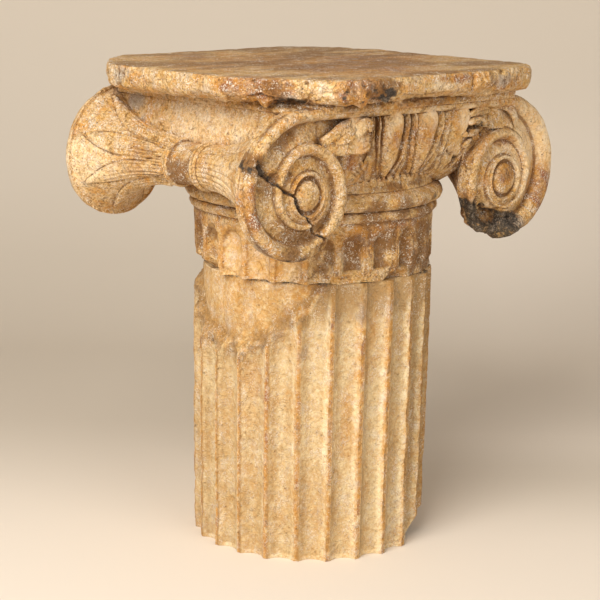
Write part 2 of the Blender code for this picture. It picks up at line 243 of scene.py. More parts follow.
def off_flute(angle, turn):
    """The same without its sign: 0 in the flute, 1 on the arris."""
    return np.abs(across_flute(angle, turn))


def flute_depth(off, past_end, radius):
    """Depth of a circular channel. Past its end the distance from the middle grows, which rounds its head."""
    half = (1 - ARRIS_SHARE) / 2 * PITCH * radius
    curve = (half**2 + FLUTE_DEPTH**2) / (2 * FLUTE_DEPTH)
    away = np.hypot(off * PITCH / 2 * radius, np.maximum(past_end, 0))
    return np.maximum(np.sqrt(np.maximum(curve**2 - away**2, 0)) - (curve - FLUTE_DEPTH), 0)


SPALL_MIDDLE, SPALL_LOW, SPALL_DEPTH = math.radians(176), 0.251, 0.0155
SPALL_RIGHT, SPALL_LEFT = math.radians(61), math.radians(68)


def spall_edge(angle):
    """Height of the flake's lower edge: a lopsided bowl round its lowest point, made ragged by noise."""
    off = wrap(angle - SPALL_MIDDLE)
    bowl = np.where(off > 0, np.abs(off / SPALL_RIGHT) ** 2.15, np.abs(off / SPALL_LEFT) ** 1.3)
    round_axis = around(1, angle, 0 * angle)
    ragged = 0.016 * (cloud(round_axis, 0.16, 4, 2) - 0.5)
    return SPALL_LOW + (SHAFT_HEIGHT - SPALL_LOW) * bowl + ragged


def chipped_side(angle):
    """1 on the side where the drum's foot is chipped."""
    return ease(np.cos(angle + math.radians(40)), 0.80, 0.97)


def drum_radius(angle, z):
    """The least of four surfaces: the fluted drum, the flake's bed, the chipped foot and the worn rim."""
    outer = SHAFT_BASE_RADIUS + (SHAFT_TOP_RADIUS - SHAFT_BASE_RADIUS) * z / SHAFT_HEIGHT
    place = around(outer, angle, z)
    off = off_flute(angle, SHAFT_TURN)
    worn = (
        0.0018 * ease(cloud(place, 0.030, 4, 1), 0.48, 0.72)
        + 0.0011 * ease(cloud(place, 0.008, 3, 4), 0.45, 0.7)
    )
    fluted = outer - flute_depth(off, 0 * z, outer) - worn * ease(off, 0.70, 0.95)
    over = z - spall_edge(angle)
    rough = 0.0035 * (cloud(place, 0.045, 4, 3) - 0.5)
    cliff = 0.014 * (cloud(place, 0.018, 4, 6) - 0.40) * bump(over, 0.007, 0.014)
    spalled = outer - SPALL_DEPTH * ease(over, -0.001, 0.022) - rough - cliff + 0.01 * ease(-over, 0, 0.002)
    chipped = outer - chipped_side(angle) * (0.030 - 1.0 * z + 0.012 * (cloud(place, 0.02, 3, 5) - 0.5))
    near_top = ease(z, SHAFT_HEIGHT - 0.008, SHAFT_HEIGHT)
    rim = outer - 0.004 * ease(cloud(place, 0.025, 3, 7), 0.4, 0.8) * near_top
    return np.minimum(np.minimum(fluted, spalled), np.minimum(chipped, rim))


# %% Make the drum
drum_z = np.concatenate([
    np.linspace(0, 0.008, 5), np.linspace(0.0105, SHAFT_HEIGHT - 0.004, 142),
    [SHAFT_HEIGHT - 0.002, SHAFT_HEIGHT],
])
angle, z = np.meshgrid(flute_angles(SHAFT_TURN), drum_z)
radius = drum_radius(angle, z)
drum = loft("carved_shaft", around(radius, angle, z))
print("drum:", len(drum.data.polygons), "faces")

# %% [markdown]
# ## The capital, form by form
#
# The capital is one block, but its forms are easiest to work out apart: the collar, the rings, the egg band,
# the two plates of volutes, the two bolsters, the block between them, the abacus and the leaves in the
# corners. Each is a closed form that reaches a little into its neighbours. A Boolean union then makes one
# skin of them, as the mason's chisel left it.
#
# First the collar. Its flutes end in round heads, and between the front and the right volute they stop over
# a broken ledge.

# %% The collar
COLLAR_RADIUS = 0.1500
FLUTE_HEAD = 0.3895
COLLAR_TOP = 0.420
COLLAR_BASE = SHAFT_HEIGHT + JOINT_GAP


def collar_radius(angle, z):
    """The collar less its flutes. The ledge fills them at the foot, and noise has eaten the lower rim."""
    place = around(COLLAR_RADIUS, angle, z)
    off = off_flute(angle, COLLAR_TURN)
    # Round the right side the flutes are narrower, with broad arrises.
    narrow = ease(np.cos(angle + math.radians(75)), 0.60, 0.85)
    depth = flute_depth(off * (1 + 0.28 * narrow), z - FLUTE_HEAD, COLLAR_RADIUS)
    shelf = COLLAR_BASE + 0.013 + 0.014 * (cloud(place, 0.05, 3, 2) - 0.4)
    ledge = ease(np.cos(angle + math.radians(80)), 0.66, 0.86) * ease(shelf + 0.003 - z, 0, 0.006)
    worn = 0.0022 * ease(cloud(place, 0.020, 4, 3), 0.5, 0.75) * ease(off, 0.7, 0.95)
    rim = 0.010 * ease(cloud(place, 0.040, 4, 5), 0.56, 0.80) * ease(COLLAR_BASE + 0.012 - z, 0, 0.012)
    # The corner at the far left is knocked off, and the ledge is pitted.
    corner = ease(np.cos(angle - math.radians(146)), 0.90, 1.0)
    knocked = 0.020 * corner * ease(COLLAR_BASE + 0.014 - z, 0, 0.012)
    broken = 0.006 * ledge * cloud(place, 0.014, 3, 6)
    return COLLAR_RADIUS - depth * (1 - ledge) - worn - rim - knocked - broken


collar_z = np.concatenate([
    np.linspace(COLLAR_BASE, COLLAR_BASE + 0.030, 14), np.linspace(0.382, FLUTE_HEAD + 0.014, 11),
    [0.411, 0.415, COLLAR_TOP + 0.002],
])
angle, z = np.meshgrid(flute_angles(COLLAR_TURN), collar_z)
radius = collar_radius(angle, z)
collar = loft("collar_form", around(radius, angle, z))

# %% [markdown]
# The two rings are a profile turned round the axis. Columns are close together in front, where the rings
# show, and wide apart behind the volutes.

# %% The rings
RING_Z = [
    0.416, 0.4200, 0.4212, 0.4235, 0.4270, 0.4305, 0.4325, 0.4334, 0.4352, 0.4385, 0.4425, 0.4470, 0.4505,
    0.4530, 0.4548, 0.4560,
]
RING_R = [
    0.1480, 0.1482, 0.1520, 0.1548, 0.1560, 0.1547, 0.1520, 0.1508, 0.1570, 0.1605, 0.1618, 0.1608, 0.1585,
    0.1550, 0.1500, 0.1460,
]
RING_COLUMNS = 240
ring_steps = np.arange(RING_COLUMNS) * 2 * math.pi / RING_COLUMNS
angle, row = np.meshgrid(ring_steps - 0.35 * np.sin(2 * ring_steps), np.arange(len(RING_Z)))
radius = np.array(RING_R)[row]
place = around(radius, angle, np.array(RING_Z)[row])
radius = radius - 0.0035 * ease(cloud(place, 0.035, 4, 4), 0.52, 0.85) * ease(radius, 0.150, 0.158)
rings = loft("ring_form", around(radius, angle, place[..., 2]))

# %% [markdown]
# ## The egg band
#
# The echinus is a bowl whose outline turns from a circle at the rings to a rounded square under the abacus.
# Eggs stand on it inside deep drilled grooves. Each has a husk round it, a dart stands between two husks,
# and a drilled pit lies on each side of a dart's tip. All of that is a height over the angle and z.

# %% The egg band
EGG_STEP = math.radians(20)
EGG_LOW, EGG_TOP = 0.474, 0.548
BACKWARD = 0.005
ECHINUS_Z = [0.452, 0.463, 0.473, 0.485, 0.499, 0.516, 0.549, 0.553]
ECHINUS_R = [0.1490, 0.1450, 0.1460, 0.1530, 0.1592, 0.1625, 0.1635, 0.1610]
ECHINUS_SQUARE = [0.0, 0.15, 0.30, 0.50, 0.75, 0.95, 1.0, 1.0]


def rounded_square(half_x, half_y, power, angles):
    """Distance from the middle to a superellipse: power 2 is an ellipse, a high power nears a rectangle."""
    total = np.abs(np.cos(angles) / half_x) ** power + np.abs(np.sin(angles) / half_y) ** power
    return total ** (-1 / power)


def egg_relief(angle, z):
    """Egg, groove, husk, dart and pits, each a bell or a dome over the distance from the egg's middle."""
    turn = np.abs((angle + math.pi / 2) % EGG_STEP / EGG_STEP - 0.5) * 2
    drop = np.clip((EGG_TOP - z) / (EGG_TOP - EGG_LOW), 0, 1.2)
    width = 0.60 * np.sqrt(np.maximum(1 - drop**2.6, 0.0))
    inside = np.maximum(1 - (turn / np.maximum(width, 0.02)) ** 2, 0)
    egg = 0.0150 * inside**0.6 * (1 - 0.22 * drop) - 0.0072
    outside = np.where(turn > width, turn - width, 0.0)
    low = 1 - ease(drop, 0.96, 1.1)
    groove = -0.0085 * bump(outside, 0.055, 0.050) * low
    husk = 0.0078 * bump(outside, 0.200, 0.068) - 0.0040 * bump(outside, 0.305, 0.032) * low
    dart = 0.0042 * bump(turn, 1.0, 0.09) * (0.4 + 0.6 * ease(drop, 0.45, 0.85))
    pit = -0.0070 * ease(-np.cos(4 * math.pi * turn), 0.1, 0.9) * bump(z, EGG_LOW - 0.0005, 0.0045)
    return (egg + groove + husk + dart) * ease(z, EGG_LOW - 0.008, EGG_LOW + 0.004) + pit


egg_columns = np.linspace(-4, 4, 225) * EGG_STEP / 2
front = egg_columns - math.pi / 2
side = np.linspace(front[-1], front[0] + math.pi, 20)[1:-1]
back = front[::2] + math.pi
egg_angles = np.concatenate([front, side, back, side + math.pi])
egg_z = np.concatenate([
    np.linspace(0.452, 0.470, 9), np.linspace(0.472, 0.488, 12), np.linspace(0.491, 0.5505, 18), [0.553],
])
angle, z = np.meshgrid(egg_angles, egg_z)
circle = smooth_through(ECHINUS_Z, ECHINUS_R, z)
square = smooth_through(ECHINUS_Z, ECHINUS_SQUARE, z)
radius = (
    circle + (rounded_square(circle + 0.004, circle + 0.004, 4, angle) - circle) * square
    + egg_relief(angle, z)
)
echinus = loft(
    "echinus_form", stack(radius * np.cos(angle), radius * np.sin(angle) + 0.8 * BACKWARD * square, z)
)

# %% [markdown]
# ## The volutes
#
# A volute is a ridge that winds in towards an eye, with a channel beside it. It could be a profile swept
# along a spiral, but then each turn would have to be fitted to the next. Here one long strip runs in from
# the top of the spiral: its inner edge is the outer edge of the next turn, so the strip is its own seam. The
# four spirals were cut by hand and differ, so each has a short list of its radii, a quarter turn apart.

# %% Spirals
EYE_X = 0.171
FACE_Y = {-1: 0.169, 1: 0.177}
EYE_Z = {(-1, -1): 0.4680, (1, -1): 0.4560, (-1, 1): 0.4750, (1, 1): 0.4660}
LIFT = {(-1, -1): 0.0, (1, -1): 0.0035, (-1, 1): 0.0, (1, 1): 0.0}
START = {(-1, -1): 0.0945, (1, -1): 0.0995, (-1, 1): 0.0935, (1, 1): 0.0950}
SWELL = {(-1, -1): 0.0100, (1, -1): 0.0100, (-1, 1): 0.0020, (1, 1): 0.0050}
SLAB_THICKNESS = {-1: 0.023, 1: 0.010}
# The second turn: its radii after each quarter, as shares of the first radius.
INNER_TURN = {
    (-1, -1): (0.610, 0.500, 0.395, 0.325, 0.283),
    (1, -1): (0.615, 0.480, 0.385, 0.330, 0.290),
    (-1, 1): (0.573, 0.498, 0.420, 0.350, 0.290),
    (1, 1): (0.573, 0.498, 0.420, 0.350, 0.290),
}


def spiral_radius(side, front, quarters):
    """A smooth curve through the radii: each of the first four quarters keeps 0.87 of the one before."""
    shares = np.concatenate([0.87 ** np.arange(4), INNER_TURN[side, front]])
    curve = START[side, front] * smooth_through(np.arange(9), shares, quarters)
    return curve + SWELL[side, front] * bump(quarters, 0.9, 0.75)


def volute_point(side, front, turn, radius):
    """A point of a volute's face at this angle and radius: the outer turns are lifted over the eye."""
    lift = LIFT[side, front] * radius / START[side, front]
    return side * (EYE_X - np.cos(turn) * radius), EYE_Z[side, front] + lift + np.sin(turn) * radius


# %% [markdown]
# Across a turn the surface starts at a sharp crease, swells into the ridge, drops steeply into the channel
# and rises gently towards the next ridge. The ridge is broad in some places and narrow in others. The second
# turn narrows to nothing against a ring, and inside the ring the domed eye stands in its own groove.

# %% The relief of a volute
TURN_SHARES = [0.0, 0.03, 0.10, 0.20, 0.29, 0.35, 0.40, 0.52, 0.70, 0.88, 0.97, 1.0]
TURN_DEPTHS = [0.0050, 0.0024, 0.0004, 0.0, 0.0016, 0.0060, 0.0100, 0.0108, 0.0090, 0.0066, 0.0068, 0.0050]
# The ridge's share of a turn's width, after 0, 1, 2, 3, 4, 6 and 8 quarters.
RIDGE_SHARE = {
    (-1, -1): (0.35, 0.31, 0.52, 0.50, 0.38, 0.50, 0.50),
    (1, -1): (0.35, 0.56, 0.52, 0.42, 0.38, 0.42, 0.45),
    (-1, 1): (0.35,) * 7,
    (1, 1): (0.35,) * 7,
}
RING_DEPTH, FULL_WIDTH = 0.0018, 0.036
EYE_SHARES = (0.96, 0.92, 0.88, 0.85, 0.82, 0.77, 0.72, 0.68, 0.66, 0.63, 0.59, 0.50, 0.38, 0.20)
EYE_DEPTHS = (
    0.0006, 0.0, 0.0008, 0.0032, 0.0058, 0.0068, 0.0068, 0.0060, 0.0040, 0.0018, 0.0006, -0.0004, -0.0011,
    -0.0016
)


def turn_depth(share, width):
    """Depth under the face over the share of a turn's width: a narrow turn is also a shallow one."""
    under_ring = smooth_through(TURN_SHARES, TURN_DEPTHS, share) - RING_DEPTH
    return RING_DEPTH + under_ring * np.minimum(width / FULL_WIDTH, 1)


def volute_grid(side, front, steps, shares, base):
    """One volute: its points, numbered on from base, its faces, its outer edge and its first row."""
    quarters = np.arange(2 * steps)[:, None] * 4 / steps
    turn = math.pi / 2 + quarters * math.pi / 2
    outer = spiral_radius(side, front, quarters)
    width = outer - spiral_radius(side, front, np.minimum(quarters + 4, 8))
    ridge = smooth_through([0, 1, 2, 3, 4, 6, 8], RIDGE_SHARE[side, front], quarters)
    placed = np.where(shares < 0.35, shares * ridge / 0.35, ridge + (shares - 0.35) * (1 - ridge) / 0.65)
    x, z = volute_point(side, front, turn, outer - width * placed)
    strip = stack(x, turn_depth(shares, width), z)
    radii = spiral_radius(side, front, 8) * np.array((1,) + EYE_SHARES)[:, None]
    x, z = volute_point(side, front, turn[steps:, 0], radii)
    eye = stack(x, np.array((RING_DEPTH,) + EYE_DEPTHS)[:, None], z)
    middle = [[side * EYE_X, -0.0018, volute_point(side, front, 0, 0)[1]]]
    points = np.concatenate([strip.reshape(-1, 3), eye.reshape(-1, 3), middle])
    grid = base + np.arange(strip[..., 0].size).reshape(2 * steps, -1)
    ring = base + grid.size + np.arange(eye[..., 0].size).reshape(-1, steps)
    # The last column is the next turn's first one, and in the second turn it is the ring.
    table = np.column_stack([grid, np.concatenate([grid[steps:, 0], ring[0]])])
    table = np.concatenate([table, np.full((1, table.shape[1]), ring[0, 0])])
    rings = np.column_stack([ring, ring[:, :1]])
    faces = [grid_faces(table), grid_faces(rings), fan(ring[-1], base + len(points) - 1)]
    return points, np.concatenate(faces), table[: steps + 1, 0], table[0]


def volute_slab(name, front, steps, shares, stations, side_rows, deep):
    """Two volutes and the channel that joins them, as one plate with the relief on its outer face.

    steps is the columns of one turn, shares the rows across it, stations the columns of the channel between,
    side_rows how far back and how proud each groove of the side lies, and deep the channel's depth.
    """
    left, faces, left_edge, left_row = volute_grid(-1, front, steps, shares, 0)
    right, more, right_edge, right_row = volute_grid(1, front, steps, shares, len(left))
    points = np.concatenate([left, right])
    # The channel is cut deep between the volutes, behind the eggs. Only its upper border stays up.
    at = np.array(stations)[:, None, None]
    middle = points[left_row] * (1 - at) + points[right_row] * at
    inwards = np.append(shares, 1.0)[None, :, None]
    cut = ease(at, 0.02, 0.12) * ease(1 - at, 0.02, 0.12) * ease(inwards, 0.33, 0.42)
    middle[..., 1] += (deep - middle[..., 1]) * cut[..., 0]
    table = len(points) + np.arange(middle[..., 0].size).reshape(len(stations), -1)
    points = np.concatenate([points, middle.reshape(-1, 3)])
    faces = [faces, more, grid_faces(np.concatenate([[left_row], table, [right_row]]))]
    # The side runs back from the outline, with grooves along it where it shows.
    outline = np.concatenate([left_edge, table[:, -1], right_edge[::-1], table[::-1, 0]])
    rim = points[outline]
    away = rim[:, [0, 2]] - np.column_stack([np.sign(rim[:, 0]) * EYE_X, np.full(len(rim), 0.466)])
    away /= np.linalg.norm(away, axis=1)[:, None]
    away *= ease(np.abs(rim[:, 0]), 0.13, 0.19)[:, None]
    walls = [outline]
    for back, proud in side_rows:
        share = (back - TURN_DEPTHS[0]) / (side_rows[-1][0] - TURN_DEPTHS[0])
        depth = rim[:, 1] + (side_rows[-1][0] - rim[:, 1]) * share
        row = stack(rim[:, 0] + away[:, 0] * proud, depth, rim[:, 2] + away[:, 1] * proud)
        walls.append(len(points) + np.arange(len(rim)))
        points = np.concatenate([points, row])
    walls = np.array(walls)
    faces.append(grid_faces(np.column_stack([walls, walls[:, 0]])))
    points[:, 1] = front * (FACE_Y[front] - points[:, 1])
    return mesh_object(name, points, np.concatenate(faces), [walls[-1]])


FINE_SHARES = np.array([
    0, 0.02, 0.045, 0.08, 0.12, 0.17, 0.22, 0.27, 0.31, 0.34, 0.37, 0.40, 0.44, 0.49, 0.55, 0.61, 0.67, 0.73,
    0.79, 0.85, 0.90, 0.94, 0.97, 0.985,
])
SIDE_BAND = [
    (0.0065, 0.0010), (0.0085, 0.0008), (0.0100, -0.0012), (0.0112, 0.0), (0.0135, 0.0010), (0.0160, 0.0006),
    (0.0172, -0.0010), (0.0186, 0.0004), (0.0215, 0.0004), (0.023, -0.0014),
]
BACK_BAND = [(0.007, 0.0006), (0.010, 0)]
front_volutes = volute_slab(
    "front_volutes", -1, steps=152, shares=FINE_SHARES, stations=np.linspace(0, 1, 42)[1:-1],
    side_rows=SIDE_BAND, deep=0.0216
)
back_volutes = volute_slab(
    "back_volutes", 1, steps=64, shares=FINE_SHARES[::2], stations=np.linspace(0, 1, 14)[1:-1],
    side_rows=BACK_BAND, deep=0.0085
)
volute_faces = [len(volutes.data.polygons) for volutes in (front_volutes, back_volutes)]
print("volutes:", volute_faces[0], "faces in front,", volute_faces[1], "behind")

# %% [markdown]
# ## The bolsters
#
# Behind each pair of volutes the stone is drawn in to a waist, bound by a belt with a double ring at each
# side. Seen along the roll, every section is a closed loop that blends from the belt's circle to the outline
# of the volute, so the bolster is a loft. Fine ribs run to the front volute. To the back one run
# lance-shaped leaves with three midribs each. On the right side, which stands in shadow, it stays plainer.

# %% Bolsters
WAIST_RADIUS, WAIST_X, WAIST_Z, BELT_HALF = 0.0262, 0.194, 0.487, 0.029
FLARE_POWER = {-1: 2.3, 1: 1.5}
BELT_Y = [
    -0.029, -0.0283, -0.0272, -0.0262, -0.0250, -0.0241, -0.0232, -0.0222, -0.0210, -0.0200, -0.0192, -0.012,
    -0.004,
]
BELT_R = [
    0.0268, 0.0282, 0.0290, 0.0288, 0.0276, 0.0277, 0.0292, 0.0296, 0.0288, 0.0268, 0.0256, 0.0250, 0.0248,
]


def leaf_relief(turn, share):
    """Leaves 50 degrees apart: a raised blade with an edge line, three midribs, and veins near the belt."""
    step = math.radians(50)
    off = (turn - math.radians(153) + step / 2) % step - step / 2
    width = math.radians(22) * np.sin(math.pi * np.clip(share / 0.90, 0, 1) ** 0.75) ** 0.8
    inside = 1 - np.abs(off) / np.maximum(width, 0.02)
    blade = 0.0023 * ease(inside, 0, 0.16) - 0.0012 * bump(inside, -0.06, 0.08) * ease(share, 0.06, 0.2)
    ribs = sum(bump(off, middle * width, 0.035 + 0.02 * share) for middle in (-0.34, 0, 0.34))
    veins = np.cos(turn * 2 * math.pi / math.radians(8)) * (1 - ease(share, 0.30, 0.62))
    ends = ease(share, 0.0, 0.04) * (1 - ease(share, 0.88, 0.93))
    rim_line = bump(share, 0.955, 0.012) - bump(share, 0.930, 0.010)
    return (blade + 0.0015 * ribs * ease(inside, 0, 0.2) + 0.0010 * veins) * ends + 0.0004 * rim_line


def rib_relief(turn, share):
    """Fine straight ribs, rounded on top, with a flat border next to the volute."""
    ribs = np.abs(np.cos(turn * math.pi / math.radians(12.9))) ** 0.7
    return 0.0019 * (ribs - 0.6) * ease(share, 0.0, 0.05) * (1 - ease(share, 0.86, 0.95))


def bolster(name, side, turn, flare_rows):
    """A roll lofted from the belt's circle to the outlines of the two volutes."""
    quarters = (turn - math.pi / 2) / (math.pi / 2)
    closing = ease(quarters, 3.0, 4.0)
    halves = []
    for front in (-1, 1):
        edge = spiral_radius(side, front, quarters)
        outline = edge + (edge[0] - edge) * closing - 0.003
        back = FACE_Y[front] - SLAB_THICKNESS[front]
        share = np.linspace(0, 1, flare_rows[front])[:, None]
        y = np.concatenate([
            -np.array(BELT_Y)[::-1], BELT_HALF + 0.0004 + (back + 0.0016 - BELT_HALF) * share[:, 0],
            [back + 0.004],
        ])
        share = np.concatenate([np.zeros((len(BELT_Y), 1)), share, [[1.0]]])
        radius = np.concatenate([
            np.array(BELT_R)[::-1], np.full(len(share) - len(BELT_R), WAIST_RADIUS),
        ])[:, None]
        relief = rib_relief(turn, share) if front < 0 else leaf_relief(turn, share)
        relief = relief * (y[:, None] > BELT_HALF) * (y[:, None] < back)
        waist_x = side * (WAIST_X - np.cos(turn) * (radius + relief))
        waist_z = WAIST_Z + np.sin(turn) * (radius + relief)
        rim_x, rim_z = volute_point(side, front, turn, outline + relief)
        spread = share ** FLARE_POWER[side]
        rows = stack(
            waist_x + (rim_x - waist_x) * spread, front * y[:, None], waist_z + (rim_z - waist_z) * spread
        )
        halves.append(rows[::-1] if front < 0 else rows)
    return loft(name, np.concatenate(halves))


# Columns lie closest together on the outer side, which shows.
BOLSTER_COLUMNS = 220
roll_steps = np.arange(BOLSTER_COLUMNS) * 2 * math.pi / BOLSTER_COLUMNS
fine_turn = math.pi / 2 + roll_steps + 0.45 * np.cos(roll_steps) - 0.45
left_bolster = bolster("left_bolster", -1, fine_turn, flare_rows={-1: 34, 1: 60})
right_bolster = bolster("right_bolster", 1, fine_turn[::2], flare_rows={-1: 18, 1: 18})
print("left bolster:", len(left_bolster.data.polygons), "faces")

# %% [markdown]
# ## Block, plate and abacus
#
# Between the volutes the stone is a plain block, and over it lie a thin plate and the abacus, a slab with
# rounded edges. Two of its corners are broken off, and its edge is chipped all along. Each is a loft through
# loops round a rectangle. The top of the abacus is a set of shrinking loops, so that it can be worn too.

# %% The block and the plate
BLOCK_ROWS = {0.452: (0.140, 0.120), 0.470: (0.150, 0.145), 0.490: (0.176, 0.1588), 0.566: (0.180, 0.1588)}
BLOCK_CUTS, BLOCK_BACKWARD = (0.034, 0.034, 0.034, 0.010), 0.009
PLATE_HALF, PLATE_CUTS, PLATE_RIGHT = (0.1865, 0.177), (0.010, 0.010, 0.036, 0.020), 0.0035
EDGE_STEPS = (56, 8)


def cut_rectangle(half_x, half_y, cuts):
    """Loops round rectangles with cut corners: back right, front right, front left and back left."""
    signs = np.array([[1, 1], [1, -1], [-1, -1], [-1, 1]])
    cuts = np.array(cuts)[:, None] * signs
    corners = signs * np.stack([half_x, half_y], axis=-1)[:, None, :]
    before, after = corners - cuts * [1, 0], corners - cuts * [0, 1]
    ends = np.stack([before, after], axis=2)
    ends[:, 1::2] = ends[:, 1::2, ::-1]
    ends = ends.reshape(len(corners), 8, 2)
    following = np.roll(ends, -1, axis=1)
    pieces = []
    for edge in range(8):
        steps = EDGE_STEPS[(edge + 1) % 2]
        share = (np.arange(steps) / steps)[None, :, None]
        pieces.append(ends[:, edge, None] * (1 - share) + following[:, edge, None] * share)
    return np.concatenate(pieces, axis=1)


block_z = np.linspace(0.452, 0.566, 26)
half = np.array([
    smooth_through(list(BLOCK_ROWS), [row[n] for row in BLOCK_ROWS.values()], block_z) for n in (0, 1)
])
loops = cut_rectangle(half[0], half[1], BLOCK_CUTS)
block = loft("block_form", stack(loops[..., 0], loops[..., 1] + BLOCK_BACKWARD, block_z[:, None]))

plate_z = np.array([0.5564, 0.5576, 0.5590, 0.5620, 0.5650, 0.5668, 0.5685, 0.572])
plate_in = np.array([0.0045, 0.0014, 0.0, 0.0, 0.0, 0.0006, 0.0024, 0.003])
loops = cut_rectangle(PLATE_HALF[0] - plate_in, PLATE_HALF[1] - plate_in, PLATE_CUTS)
plate = loft("plate_form", stack(loops[..., 0] + PLATE_RIGHT, loops[..., 1] + BACKWARD, plate_z[:, None]))

# %% The abacus
ABACUS_HALF = (0.2265, 0.2110)
ABACUS_MIDDLE = (-0.004, 0.009)
BROKEN_CORNERS = ((math.radians(-142), 0.2410), (math.radians(136), 0.2560))
ABACUS_Z = [
    0.5675, 0.5690, 0.5706, 0.5722, 0.5745, 0.5778, 0.5812, 0.5846, 0.5880, 0.5910, 0.5935, 0.5955, 0.5968,
    0.5976, HEIGHT,
]
ABACUS_IN = [
    0.0220, 0.0140, 0.0085, 0.0052, 0.0026, 0.0010, 0.0002, 0.0, 0.0, 0.0001, 0.0004, 0.0009, 0.0015, 0.0023,
    0.0040,
]


def abacus_edge(angles):
    """Distance of the outline from the axis: a rounded rectangle less its broken corners."""
    reach = rounded_square(ABACUS_HALF[0], ABACUS_HALF[1], 6, angles)
    x, y = reach * np.cos(angles) + ABACUS_MIDDLE[0], reach * np.sin(angles) + ABACUS_MIDDLE[1]
    turn, reach = np.arctan2(y, x), np.hypot(x, y)
    for direction, distance in BROKEN_CORNERS:
        flat = distance / np.maximum(np.cos(turn - direction), 0.5)
        reach = (reach**-30 + flat**-30) ** (-1 / 30)
    return turn, reach


edge_angles = np.concatenate([
    np.linspace(2.7, 2.7 + 3.6, 320, endpoint=False), np.linspace(6.3, 2.7 + 2 * math.pi, 90, endpoint=False),
])
turn, reach = abacus_edge(edge_angles)
side_reach = reach - np.array(ABACUS_IN)[:, None]
TOP_LOOPS = 14
top_reach = side_reach[-1] * np.linspace(1, 0.06, TOP_LOOPS + 1)[1:, None]
top_z = np.full(TOP_LOOPS, HEIGHT)
abacus_reach = np.concatenate([side_reach, top_reach])
abacus_z = np.concatenate([ABACUS_Z, top_z])[:, None]
abacus = loft("abacus_form", around(abacus_reach, turn, abacus_z))
print("abacus:", len(abacus.data.polygons), "faces")

# %% [markdown]
# ## The leaves in the corners
#
# Where an outer egg meets a volute, a small half palmette fills the corner. Its leaflets curl forwards at
# the tip. Each is a row of oval sections along a bent centre line.

# %% Leaflets


def leaflet(name, path, widths, thick, front):
    """Oval sections along a smooth path of (x, z, forward), as wide as the list says at each point."""
    stations = np.linspace(0, 1, len(path))
    along = 1 - (1 - np.linspace(0, 1, 20)) ** 1.3
    x, z, forward = (smooth_through(stations, column, along) for column in np.transpose(path))
    # The tip is round: the width follows a quarter circle over the last sixth of the length.
    tip = np.sqrt(np.clip(1 - ((along - 0.84) / 0.17) ** 2 * (along > 0.84), 0.0, 1))
    width = (smooth_through(stations, widths, along) * np.maximum(tip, 0.15))[:, None]
    slope = np.hypot(np.gradient(x), np.gradient(z))
    side_x, side_z = (np.gradient(z) / slope)[:, None], (-np.gradient(x) / slope)[:, None]
    turn = np.linspace(0, 2 * math.pi, 16, endpoint=False)
    # The blade is hollowed along its middle, and one edge stands higher than the other.
    lobes = np.sin(turn) * (1 - 0.45 * bump(np.cos(turn), 0, 0.45) * (np.sin(turn) > 0)) + 0.25 * np.cos(turn)
    across = np.cos(turn) * width
    y = front * (forward[:, None] + lobes * thick * np.minimum(width / 0.006, 1))
    return loft(name, stack(x[:, None] + side_x * across, y, z[:, None] + side_z * across))


